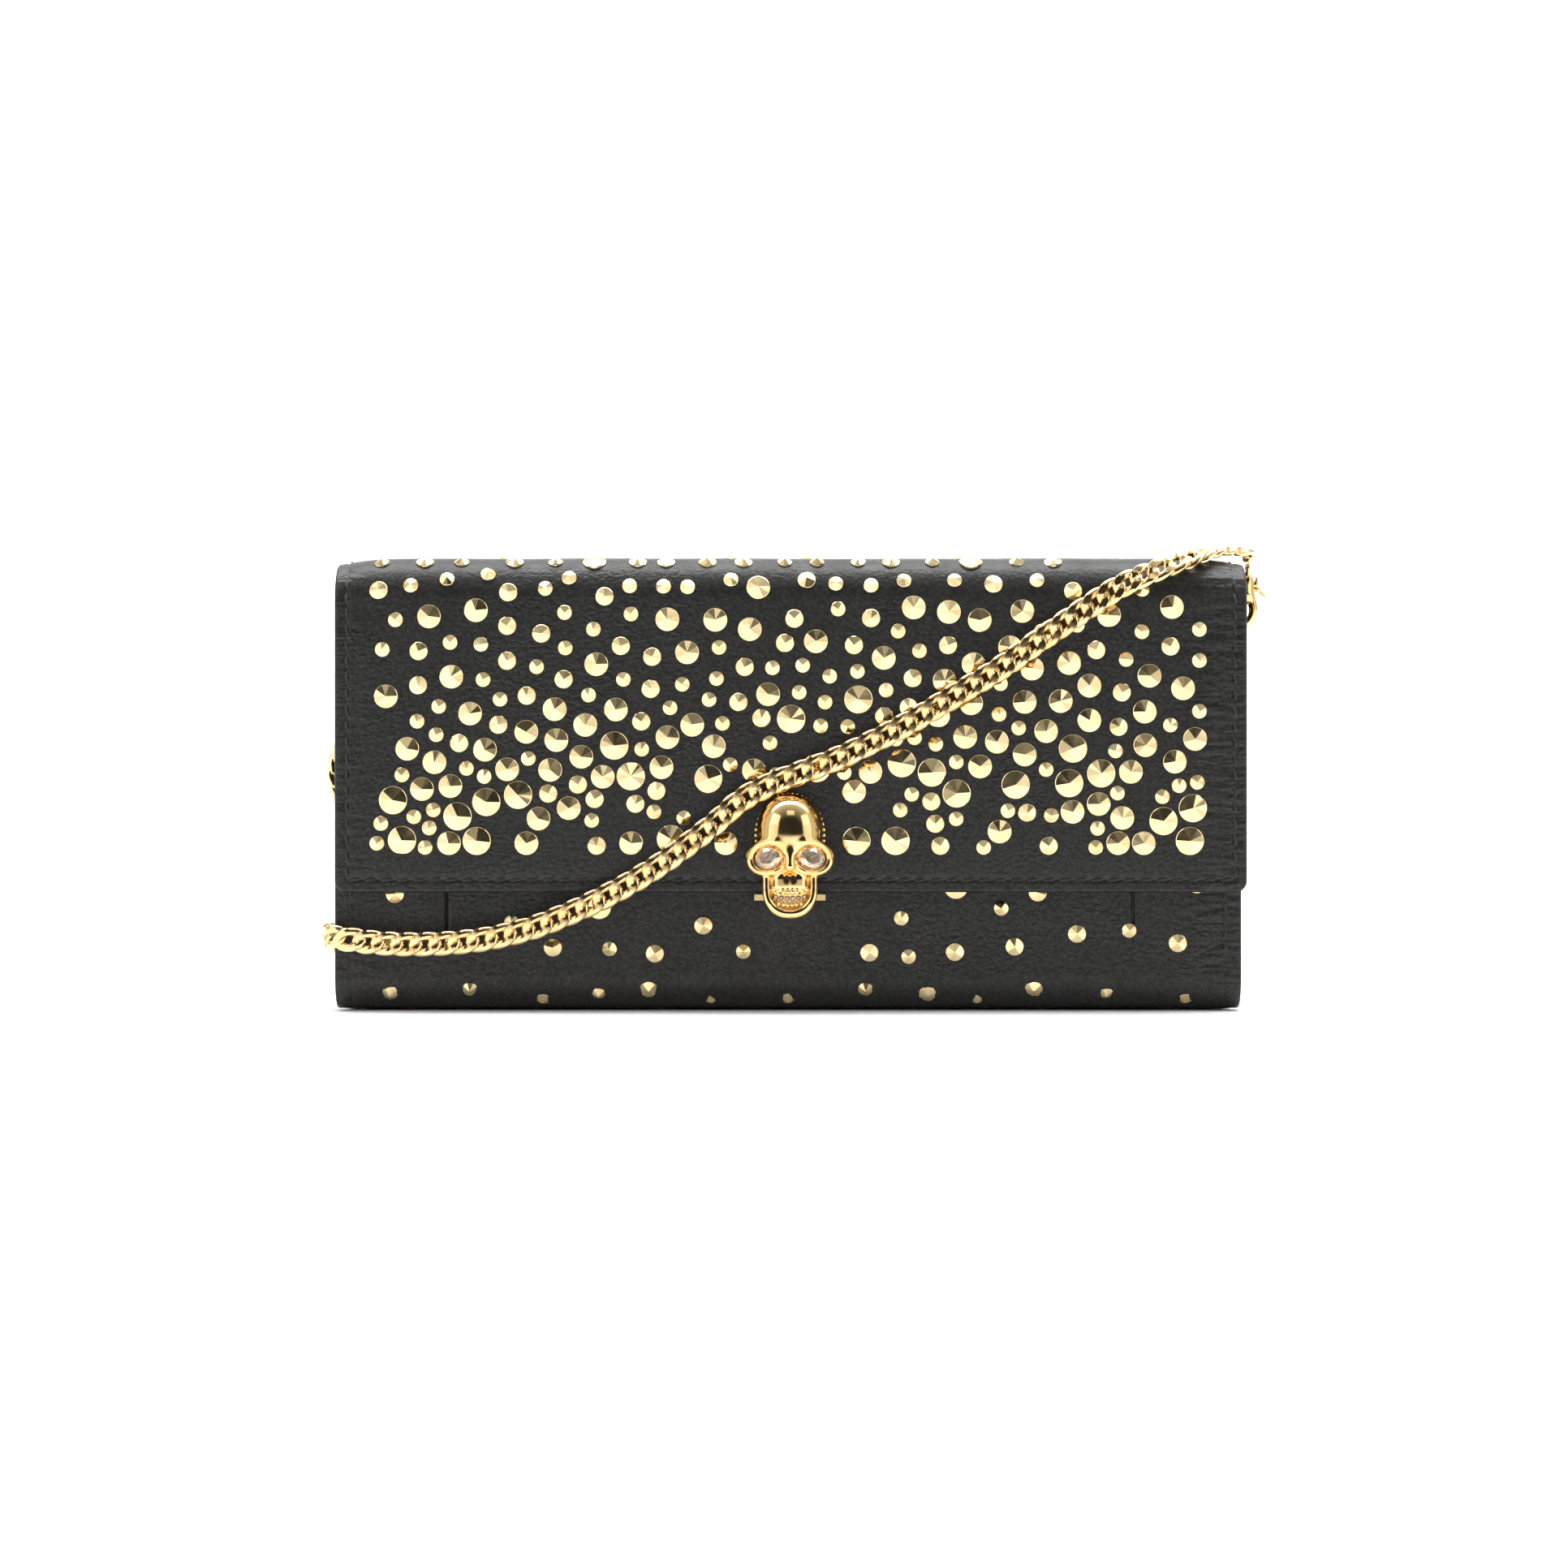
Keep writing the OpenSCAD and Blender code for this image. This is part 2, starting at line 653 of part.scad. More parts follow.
module skull_head() {
    $fn = 24;
    color(gold) translate([skull_x, flap_y, 0]) difference() {
        intersection() {
            union() {
                hull() {
                    translate([0, -2.5, 40.2]) sphere(7.7);
                    translate([0, -4.4, 38.4]) sphere(6.4);
                    for (side = [-1, 1]) translate([side * 3.6, -1.5, 38]) sphere(5);
                }
                hull() for (side = [-1, 1]) {
                    translate([side * 6.6, -4, 35.2]) sphere(2.4);
                    translate([side * 6, -3.4, 31.6]) sphere(2.2);
                }
                hull() for (side = [-1, 1]) {
                    translate([side * 3.2, -5.4, 31]) sphere(2.8);
                    translate([side * 3, -5, 26]) sphere(2.6);
                }
                hull() for (side = [-1, 1]) {
                    translate([side * 3.6, -4.9, 25.4]) sphere(2.3);
                    translate([side * 2.2, -5.2, 22.8]) sphere(2.3);
                }
            }
            block([-12, -12, skull_low], [12, lock_front - flap_y, skull_top + 1]);
        }
        for (side = [-1, 1]) translate([side * 4.5, -9.2, 34]) sphere(3);
        translate([0, -10, 30.4]) sphere(2.2);
        translate([0, mouth_floor - 1.5, mouth_z]) cube([8.4, 3, 1.3], center = true);
    }
    color(gold) translate([skull_x, flap_y, 0]) block([-5.4, -2.35, 27], [5.4, 0, 44]);
}

module eye_stones() {
    color(crystal) for (side = [-1, 1]) {
        translate([skull_x + side * 4.5, flap_y - 6.15, 34]) rotate([90, 0, 0]) cylinder(1, 2.4, 1.6);
    }
}

// a row of small stones set in the floor of the mouth
module tooth_stones() {
    spacing = 1.3;
    color(crystal) for (i = [-2.5 : 2.5]) {
        translate([skull_x + i * spacing, flap_y + mouth_floor + 0.1, mouth_z]) rotate([90, 0, 0])
            cylinder(0.8, 0.55, 0.3);
    }
}

// a case behind the jaw: open to the back for the post, and at both sides for the tabs
module lock_case() {
    color(steel) translate([skull_x, 0, 0]) difference() {
        block([-5, lock_front, lock_low], [5, lock_back, lock_top]);
        block([-4.4, lock_front + 0.6, lock_low + 0.6], [4.4, lock_back - 0.5, lock_top + 1]);
        block([-1.7, lock_back - 1, lock_low - 1], [1.7, lock_back + 1, lock_top - 0.4]);
        block([-6, lock_front + 0.5, tab_z - 0.9], [6, lock_front + 2, lock_top + 1]);
    }
    color(steel) translate([skull_x, 0, 0])
        block([-1, lock_front + 0.6, lock_low + 0.6], [1, lock_front + 1.7, lock_low + 2.2]);
}

module release_tab(side) {
    y = lock_front + 1.2;
    color(gold) translate([skull_x, 0, 0]) scale([side, 1, 1]) union() {
        block([2.6, y - 0.5, tab_z - 0.65], [tab_out, y + 0.5, tab_z + 0.65]);
        block([3.4, y - 0.5, lock_low + 0.8], [4, y + 0.5, tab_z]);
    }
}
module release_tab_left() { release_tab(-1); }
module release_tab_right() { release_tab(1); }

// two small coils that push the tabs out
module latch_springs() {
    turns = 3;
    steps = 24;
    color(steel) for (side = [-1, 1]) {
        path = [for (i = [0 : steps])
            let (a = 360 * turns * i / steps)
            [skull_x + side * (1.15 + 2.1 * i / steps),
             lock_front + 1.15 + 0.38 * cos(a), lock_low + 1.4 + 0.38 * sin(a)]];
        outs = [for (i = [0 : steps]) [1, 0, 0]];
        oval_tube(path, 0.11, 0.11, outs, 6);
    }
}

module lock_backplate() {
    y = flap_y + flap_t;
    color(steel) block([skull_x - 5, y, 29], [skull_x + 5, y + 0.5, 43]);
}

// screws through the flap into the skull
module lock_screws() {
    color(steel) for (z = [32, 40]) translate([skull_x, flap_y + flap_t + 0.5, z]) rotate([90, 0, 0]) {
        cylinder(flap_t + 2.4, 0.8, 0.8);
        translate([0, 0, -0.6]) cylinder(0.6, 1.6, 1.6);
    }
}

// ---- rings, clasps and chain ----

// a D ring with its straight bar along Y at the origin, reaching out along +X
module d_ring() {
    bend = 1.2;
    w = ring_half;
    color(gold) union() {
        wire([0, -w + bend, 0], [0, w - bend, 0], ring_wire);
        wire([ring_len, -w + bend, 0], [ring_len, w - bend, 0], ring_wire);
        for (side = [-1, 1]) wire([bend, side * w, 0], [ring_len - bend, side * w, 0], ring_wire);
        far = ring_len - bend;
        near = w - bend;
        for (corner = [[bend, near, 90], [bend, -near, 180], [far, -near, 270], [far, near, 0]]) {
            translate([corner.x, corner.y, 0]) rotate([0, 0, corner.z])
                rotate_extrude(angle = 90) translate([bend, 0]) circle(ring_wire, $fn = 24);
        }
    }
}

// the clasp hangs on the ring's far wire at the origin, with its long axis along +Z
hook_z = 2.4;
hook_in = 3.25;
hook_out = 4.9;
pivot = [1.3, 7.6];
module clasp_flat() {
    difference() {
        union() {
            translate([0.1, hook_z + 0.2]) circle(hook_out);
            polygon([[-2.4, 5.4], [5, 4.6], [5.2, 7.2], [4.7, 8.6], [3.9, 10], [1.6, 10], [-0.4, 8.8]]);
        }
        translate([0, hook_z]) circle(hook_in);
        polygon([[0, hook_z], [-7, hook_z - 4.4], [-7, hook_z + 3.4], [-2.6, hook_z + 3.4]]);
    }
}

module clasp() {
    color(gold) union() {
        difference() {
            translate([0, clasp_t / 2, 0]) rotate([90, 0, 0]) linear_extrude(clasp_t) clasp_flat();
            block([-6, -0.6, 5.2], [7, 0.6, 8.8]);
            translate([swivel_x, 0, 8.9]) cylinder(2, 0.65, 0.65);
        }
        translate([pivot.x, 0.7, pivot.y]) rotate([90, 0, 0]) cylinder(1.4, 0.42, 0.42);
    }
}

// the gate, its thumb lever and the pin that it turns on
module clasp_trigger() {
    color(gold) difference() {
        translate([0, 0.5, 0]) rotate([90, 0, 0]) linear_extrude(1) union() {
            translate(pivot) circle(1.1);
            polygon([[-4.3, 2], [-3.7, 1.7], [-2.7, 6], [pivot.x, pivot.y - 1], [5.4, 6.2], [6.8, 5.2],
                     [5.8, 7.4], [pivot.x, pivot.y + 1], [-3.6, 7.2]]);
        }
        translate([pivot.x, 1, pivot.y]) rotate([90, 0, 0]) cylinder(2, 0.5, 0.5);
    }
}

// a stem that turns in the clasp, with an eye for the chain
module clasp_swivel() {
    color(gold) translate([swivel_x, 0, 0]) union() {
        translate([0, 0, 9.1]) cylinder(2, 0.55, 0.55);
        translate([0, 0, swivel_z]) rotate([0, 90, 0]) rotate_extrude()
            translate([1.2, 0]) circle(0.45, $fn = 24);
    }
}

clasp_right_at = [ring_bar_x + ring_len, pocket_y, ring_z];
drop_x = ring_len * cos(ring_drop);
drop_z = ring_len * sin(ring_drop);
clasp_left_at = [-ring_bar_x - drop_x, pocket_y, ring_z - drop_z];

module d_ring_right() { translate([ring_bar_x, pocket_y, ring_z]) d_ring(); }
module clasp_right() { translate(clasp_right_at) clasp(); }
module clasp_trigger_right() { translate(clasp_right_at) clasp_trigger(); }
module clasp_swivel_right() { translate(clasp_right_at) clasp_swivel(); }

// the left ring hangs, with its clasp upside down below it
module hang_left() { translate(clasp_left_at) rotate([0, 180, 0]) children(); }
module d_ring_left() {
    translate([-ring_bar_x, pocket_y, ring_z]) rotate([0, 180 - ring_drop, 0]) d_ring();
}
module clasp_left() { hang_left() clasp(); }
module clasp_trigger_left() { hang_left() clasp_trigger(); }
module clasp_swivel_left() { hang_left() clasp_swivel(); }

module chain_run() { chain_tube(run_route, [for (p = run_route) core_out(p)]); }
module chain_wrap() { chain_tube(wrap_route, [for (p = wrap_route) wrap_out(p)]); }
module chain_tail() { chain_tube(tail_route, [for (p = tail_route) tail_out(p)]); }
module chain_coil() {
    h = chain_t + coil_pitch * (coil_turns - 0.5);
    color(gold) translate([coil_centre.x, coil_centre.y, 0]) rotate_extrude()
        translate([coil_r - chain_w / 2, 0.1]) square([chain_w, h]);
}

back_panel();
back_lining();
bottom_panel();
card_leaves_back();
coin_pocket_back();
coin_pocket_front();
coin_pocket_base();
coin_pocket_ends();
zip_tapes();
zip_teeth();
zip_stops();
zip_slider();
zip_pull();
gussets_back();
gussets_front();
ring_tabs();
ring_rivets();
studs_back();
studs_base();
studs_roll();
front_panel();
front_board();
front_lining();
card_leaves_front();
catch_plate();
catch_post();
catch_backplate();
studs_front();
spine_leather();
spine_lining();
studs_spine();
flap_leather();
flap_board();
flap_lining();
studs_extra_large();
studs_large();
studs_medium();
studs_small();
skull_head();
eye_stones();
tooth_stones();
lock_case();
lock_backplate();
lock_screws();
latch_springs();
release_tab_left();
release_tab_right();
d_ring_right();
clasp_right();
clasp_trigger_right();
clasp_swivel_right();
d_ring_left();
clasp_left();
clasp_trigger_left();
clasp_swivel_left();
chain_run();
chain_wrap();
chain_coil();
chain_tail();
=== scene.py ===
"""The looks of a studded chain wallet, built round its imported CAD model.
Sizes are in millimetres until a mesh is made."""

import json
import math

import bpy
import numpy as np
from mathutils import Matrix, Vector


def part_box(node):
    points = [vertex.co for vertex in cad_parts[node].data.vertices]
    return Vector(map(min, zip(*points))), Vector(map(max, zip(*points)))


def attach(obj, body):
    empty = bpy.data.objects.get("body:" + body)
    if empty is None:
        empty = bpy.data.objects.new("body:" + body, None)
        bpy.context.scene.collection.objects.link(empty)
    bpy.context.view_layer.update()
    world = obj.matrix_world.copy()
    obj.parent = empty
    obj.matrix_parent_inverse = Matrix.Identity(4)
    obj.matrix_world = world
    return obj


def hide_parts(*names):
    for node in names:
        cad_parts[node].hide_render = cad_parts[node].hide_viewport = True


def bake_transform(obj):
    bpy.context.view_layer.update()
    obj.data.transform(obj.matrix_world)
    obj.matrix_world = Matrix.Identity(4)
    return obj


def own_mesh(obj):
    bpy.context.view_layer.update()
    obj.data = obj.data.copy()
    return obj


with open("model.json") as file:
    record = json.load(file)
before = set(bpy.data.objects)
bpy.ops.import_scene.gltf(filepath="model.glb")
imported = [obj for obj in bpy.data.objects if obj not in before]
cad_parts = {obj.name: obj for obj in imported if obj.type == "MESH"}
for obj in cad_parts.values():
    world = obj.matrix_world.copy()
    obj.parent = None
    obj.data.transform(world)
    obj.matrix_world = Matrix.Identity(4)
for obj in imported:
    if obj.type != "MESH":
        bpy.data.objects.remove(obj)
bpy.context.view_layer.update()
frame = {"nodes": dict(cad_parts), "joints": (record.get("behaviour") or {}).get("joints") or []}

MM = 0.001
rng = np.random.default_rng(7)
scene = bpy.context.scene


# ---- frame ----

def corners(node):
    """Lowest and highest corner of a CAD node, in millimetres."""
    low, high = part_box(node)
    return np.array(low) / MM, np.array(high) / MM


def joint_at(name):
    """The point that a hinge turns about, in millimetres."""
    found = next(j for j in frame["joints"] if j["name"] == name)
    return np.array(found["pos_m"]) / MM


flap_low_corner, flap_high_corner = corners("flap_leather")
FLAP_W = flap_high_corner[0] - flap_low_corner[0]
FLAP_X = (flap_high_corner[0] + flap_low_corner[0]) / 2
FLAP_Y = -15.0
FLAP_LOW = flap_low_corner[2]
BACK_Y = corners("back_panel")[1][1]
BODY_W = corners("front_panel")[1][0] * 2
FRONT_Y = corners("front_panel")[0][1]
TOP_R = 9.0
TOP_Z = joint_at("flap_open")[2]
ROLL_Y = 6.0
LOW_R = 7.0
LOW_Z = corners("bottom_panel")[0][2] + LOW_R
LOW_BACK_Y = BACK_Y - LOW_R
LOW_FRONT_Y = FRONT_Y + LOW_R
SKULL_X = 0.4
SHANK = 0.9


# ---- small maths ----

def unit(v):
    return v / np.linalg.norm(v, axis=-1, keepdims=True)


def smoothstep(low, high, x):
    t = np.clip((np.asarray(x, float) - low) / (high - low), 0, 1)
    return t * t * (3 - 2 * t)


def arc(centre, r, start, end, count=24):
    """Points on an arc, in degrees from +Y towards +Z."""
    a = np.radians(np.linspace(start, end, count))
    return [(centre[0] + r * math.cos(t), centre[1] + r * math.sin(t)) for t in a]


def resample(points, step):
    """A polyline's points at even steps, and their distances along it."""
    points = np.array(points, float)
    along = np.concatenate([[0], np.cumsum(np.linalg.norm(np.diff(points, axis=0), axis=1))])
    count = max(2, int(round(along[-1] / step)) + 1)
    s = np.linspace(0, along[-1], count)
    return np.stack([np.interp(s, along, points[:, k]) for k in range(points.shape[1])], 1), s


def curve_through(points, per_span=24):
    """A smooth curve through given points."""
    p = np.array(points, float)
    p = np.vstack([2 * p[0] - p[1], p, 2 * p[-1] - p[-2]])
    out = []
    for i in range(1, len(p) - 2):
        a, b, c, d = p[i - 1:i + 3]
        t = np.linspace(0, 1, per_span, endpoint=False)[:, None]
        square, cube = 2 * a - 5 * b + 4 * c - d, 3 * b - a - 3 * c + d
        out.append(0.5 * (2 * b + (c - a) * t + square * t**2 + cube * t**3))
    return np.vstack([*out, p[-2:-1]])


# ---- materials ----

def new_material(name, colour, roughness, metallic=0.0, specular=0.5):
    material = bpy.data.materials.new(name)
    material.use_nodes = True
    shader = material.node_tree.nodes["Principled BSDF"]
    shader.inputs["Base Color"].default_value = (*colour, 1)
    shader.inputs["Roughness"].default_value = roughness
    shader.inputs["Metallic"].default_value = metallic
    shader.inputs["Specular IOR Level"].default_value = specular
    return material, material.node_tree, shader


def node(tree, kind, **settings):
    made = tree.nodes.new(kind)
    for key, value in settings.items():
        if key in made.inputs:
            made.inputs[key].default_value = value
        else:
            setattr(made, key, value)
    return made


def coordinates(tree, scale=(1, 1, 1), turn=(0, 0, 0)):
    where = node(tree, "ShaderNodeTexCoord")
    mapping = node(tree, "ShaderNodeMapping", Scale=scale, Rotation=turn)
    tree.links.new(where.outputs["Object"], mapping.inputs["Vector"])
    return mapping.outputs["Vector"]


def ranged(tree, value, low, high, to_low, to_high):
    limits = {"From Min": low, "From Max": high, "To Min": to_low, "To Max": to_high}
    made = node(tree, "ShaderNodeMapRange", **limits)
    tree.links.new(value, made.inputs["Value"])
    return made.outputs["Result"]


def bump(tree, height, distance, strength=1.0, before=None):
    made = node(tree, "ShaderNodeBump", Strength=strength, Distance=distance)
    tree.links.new(height, made.inputs["Height"])
    if before is not None:
        tree.links.new(before, made.inputs["Normal"])
    return made.outputs["Normal"]


def noise(tree, vector, scale, detail=4.0, roughness=0.5):
    made = node(tree, "ShaderNodeTexNoise", Scale=scale, Detail=detail, Roughness=roughness)
    tree.links.new(vector, made.inputs["Vector"])
    return made.outputs["Fac"]


def cells(tree, vector, scale, feature="F1"):
    made = node(tree, "ShaderNodeTexVoronoi", feature=feature, Scale=scale)
    tree.links.new(vector, made.inputs["Vector"])
    return made.outputs["Distance"]


def maths(tree, operation, a, b):
    made = node(tree, "ShaderNodeMath", operation=operation)
    for socket, value in zip(made.inputs, (a, b)):
        if isinstance(value, (int, float)):
            socket.default_value = value
        else:
            tree.links.new(value, socket)
    return made.outputs[0]


def mixed_colour(tree, factor, a, b):
    made = node(tree, "ShaderNodeMix", data_type="RGBA")
    tree.links.new(factor, made.inputs["Factor"])
    made.inputs[6].default_value = (*a, 1)
    made.inputs[7].default_value = (*b, 1)
    return made.outputs[2]


def leather_material(name, dark, light, roughness, grain, crease, wrinkled=0.0):
    """Pebbled leather: small grain over larger cells, with soft creases in patches.
    wrinkled puckers it near the wallet's two sides."""
    material, tree, shader = new_material(name, dark, roughness)
    place = coordinates(tree)
    patches = ranged(tree, noise(tree, place, 34, 3), 0.42, 0.68, 0.0, 1.0)
    pebbles = cells(tree, place, 1150)
    fine = noise(tree, place, 3200, 3)
    folds = cells(tree, coordinates(tree, (1.0, 1.0, 1.7), (0, 0.35, 0)), 420, "DISTANCE_TO_EDGE")
    folded = maths(tree, "MULTIPLY", ranged(tree, folds, 0.0, 0.25, 0.0, 1.0), patches)
    normal = bump(tree, folded, 0.00016, crease)
    normal = bump(tree, pebbles, 0.00007, grain, normal)
    normal = bump(tree, fine, 0.00002, 0.6, normal)
    if wrinkled:
        split = node(tree, "ShaderNodeSeparateXYZ")
        tree.links.new(place, split.inputs["Vector"])
        right = ranged(tree, split.outputs["X"], 0.084, 0.095, 0.0, 1.0)
        left = ranged(tree, split.outputs["X"], -0.086, -0.097, 0.0, 0.55)
        puckers = noise(tree, coordinates(tree, (0.4, 1.0, 1.5)), 430, 2, 0.4)
        near_sides = maths(tree, "MULTIPLY", puckers, maths(tree, "MAXIMUM", right, left))
        normal = bump(tree, near_sides, 0.0007, wrinkled, normal)
    tree.links.new(normal, shader.inputs["Normal"])
    colour = mixed_colour(tree, ranged(tree, pebbles, 0.15, 0.75, 1.0, 0.0), dark, light)
    tree.links.new(colour, shader.inputs["Base Color"])
    shine = ranged(tree, noise(tree, place, 160, 4), 0.3, 0.7, roughness - 0.07, roughness + 0.08)
    tree.links.new(shine, shader.inputs["Roughness"])
    shader.inputs["Specular IOR Level"].default_value = 0.4
    shader.inputs["Coat Weight"].default_value = 0.05
    shader.inputs["Coat Roughness"].default_value = 0.3
    return material


def metal_material(name, colour, shade, roughness, scratches=0.35):
    """Polished plating: slight cloudiness in its shine and tone, warmer in patches, and fine scratches."""
    material, tree, shader = new_material(name, colour, roughness, metallic=1.0)
    place = coordinates(tree)
    cloud = noise(tree, place, 260, 5)
    shine = ranged(tree, cloud, 0.3, 0.75, roughness * 0.7, roughness * 1.6)
    tree.links.new(shine, shader.inputs["Roughness"])
    tint = mixed_colour(tree, ranged(tree, cloud, 0.35, 0.7, 0.0, 1.0), colour, shade)
    tree.links.new(tint, shader.inputs["Base Color"])
    lines = noise(tree, coordinates(tree, (1, 1, 9), (0.3, 0.5, 0.2)), 1400, 2)
    tree.links.new(bump(tree, lines, 0.000006, scratches), shader.inputs["Normal"])
    return material


def fabric_material(name, colour, light, pitch):
    """A plain weave of two crossed sets of threads."""
    material, tree, shader = new_material(name, colour, 0.85)
    place = coordinates(tree)
    threads = []
    for direction in ("X", "Z"):
        made = node(tree, "ShaderNodeTexWave", bands_direction=direction, Scale=0.314 / pitch, Distortion=0.6)
        tree.links.new(place, made.inputs["Vector"])
        threads.append(made.outputs["Fac"])
    weave = maths(tree, "MULTIPLY", *threads)
    tree.links.new(bump(tree, weave, 0.00008, 0.8), shader.inputs["Normal"])
    tree.links.new(mixed_colour(tree, weave, colour, light), shader.inputs["Base Color"])
    shader.inputs["Sheen Weight"].default_value = 0.3
    return material


def stone_material(name):
    """A foil-backed champagne crystal under a clear polished face. Its small inner facets are painted from
    brown to pale: painted glints and painted shade of the facets.
    """
    material, tree, shader = new_material(name, (0.8, 0.55, 0.38), 0.16, metallic=0.8)
    facets = node(tree, "ShaderNodeTexVoronoi", feature="F1", Scale=1500)
    tree.links.new(coordinates(tree), facets.inputs["Vector"])
    value = node(tree, "ShaderNodeSeparateColor")
    tree.links.new(facets.outputs["Color"], value.inputs["Color"])
    # painted glints and painted shade: each small facet is given a random tone from brown to pale
    painted_sparkle = mixed_colour(tree, value.outputs[0], (0.62, 0.39, 0.23), (1.0, 0.90, 0.74))
    tree.links.new(painted_sparkle, shader.inputs["Base Color"])
    tree.links.new(bump(tree, value.outputs[1], 0.0005, 0.8), shader.inputs["Normal"])
    shader.inputs["Coat Weight"].default_value = 1.0
    shader.inputs["Coat Roughness"].default_value = 0.02
    return material


def floor_material():
    material, tree, shader = new_material("pale_floor", (0.93, 0.93, 0.93), 0.6)
    speckle = noise(tree, coordinates(tree), 40, 3)
    colour = mixed_colour(tree, speckle, (0.92, 0.92, 0.92), (0.95, 0.95, 0.95))
    tree.links.new(colour, shader.inputs["Base Color"])
    return material


LEATHER = leather_material("black_leather", (0.0085, 0.0083, 0.0078), (0.024, 0.023, 0.0215),
                           0.44, 0.95, 0.42, 0.85)
SMOOTH_LEATHER = leather_material("lining_leather", (0.022, 0.021, 0.020), (0.042, 0.040, 0.037),
                                  0.55, 0.35, 0.12)
EDGE = leather_material("edge_paint", (0.03, 0.026, 0.023), (0.055, 0.047, 0.04), 0.42, 0.2, 0.05)
THREAD = fabric_material("black_thread", (0.006, 0.006, 0.006), (0.03, 0.03, 0.03), 0.00025)
TAPE = fabric_material("zip_tape", (0.010, 0.010, 0.010), (0.04, 0.04, 0.04), 0.0003)
BOARD = fabric_material("stiffening_board", (0.22, 0.17, 0.11), (0.36, 0.29, 0.21), 0.0004)
STUD_GOLD = metal_material("stud_plating", (0.92, 0.755, 0.43), (0.86, 0.66, 0.33), 0.15)
BRIGHT_GOLD = metal_material("polished_gold", (0.95, 0.70, 0.34), (0.88, 0.58, 0.23), 0.10)
CHAIN_GOLD = metal_material("chain_plating", (0.96, 0.74, 0.40), (0.90, 0.62, 0.27), 0.13)
STEEL = metal_material("zinc_steel", (0.52, 0.52, 0.53), (0.42, 0.42, 0.43), 0.3)
STONE = stone_material("champagne_crystal")


# ---- meshes ----

def make_piece(name, points, faces, material, body, slot, smooth=True, replaced=(), split=None,
               painted=False):
    """A mesh object from points in millimetres, riding on a body. With no body it is left unattached.
    Where painted, the faces between a sheet's two sides have the edge paint."""
    mesh = bpy.data.meshes.new(name)
    mesh.from_pydata((np.asarray(points) * MM).tolist(), [], [tuple(f) for f in faces])
    mesh.materials.append(material)
    mesh.polygons.foreach_set("use_smooth", [smooth] * len(mesh.polygons))
    if painted:
        half = len(points) // 2
        mesh.materials.append(EDGE)
        mesh.polygons.foreach_set("material_index", [int(min(f) < half <= max(f)) for f in faces])
    mesh.update()
    made = bpy.data.objects.new(name, mesh)
    scene.collection.objects.link(made)
    if split is not None:
        mesh.set_sharp_from_angle(angle=math.radians(split))
    if body:
        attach(made, body)
    if replaced:
        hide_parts(*replaced)
    return made


def joined(parts):
    """Points and faces of several meshes as one."""
    points, faces, base = [], [], 0
    for p, f in parts:
        points.append(p)
        faces += [tuple(np.asarray(face) + base) for face in f]
        base += len(p)
    return np.vstack(points), faces


def flipped(faces):
    return [tuple(reversed(f)) for f in faces]


def ring_faces(rings, sides, closed=False):
    """Faces of a tube of point rings. A closed tube joins its last ring to its first, others have caps."""
    faces = []
    for i in range(rings if closed else rings - 1):
        here, there = i * sides, (i + 1) % rings * sides
        for k in range(sides):
            j = (k + 1) % sides
            faces.append((here + k, here + j, there + j, there + k))
    if not closed:
        faces += [tuple(reversed(range(sides))), tuple(range((rings - 1) * sides, rings * sides))]
    return faces


def sheet_faces(rows, columns):
    """Faces of a closed sheet: a grid of points for its outer side, one for its inner, a wall between."""
    index = np.arange(rows * columns).reshape(rows, columns)
    quads = np.stack([index[:-1, :-1], index[:-1, 1:], index[1:, 1:], index[1:, :-1]], 2).reshape(-1, 4)
    faces = quads.tolist() + (quads[:, ::-1] + rows * columns).tolist()
    loop = [*index[0, :], *index[1:, -1], *index[-1, -2::-1], *index[-2:0:-1, 0]]
    for a, b in zip(loop, [*loop[1:], loop[0]]):
        faces.append((b, a, a + rows * columns, b + rows * columns))
    return faces


def border_steps(edge):
    return edge * np.array([0, 0.08, 0.3, 0.62, 1.0])


def panel_lines(length, edge, marks, step):
    """Places of the grid lines along one side: close at both edges and at the marks, even elsewhere."""
    near = border_steps(edge)
    inner = np.arange(edge + step, length - edge - step * 0.5, step)
    at_marks = [m + np.array([-0.7, -0.3, 0, 0.3, 0.7]) for m in marks]
    lines = np.concatenate([near, length - near, inner, *at_marks])
    lines = np.unique(np.round(lines[(lines >= 0) & (lines <= length)], 3))
    return lines[np.concatenate([[True], np.diff(lines) > 0.05])]


def rounded_off(distance, r):
    """How far a quarter round of radius r has cut in, at a distance from its start."""
    return np.where(distance < r, r - np.sqrt(np.maximum(0, r**2 - (r - distance) ** 2)), 0)


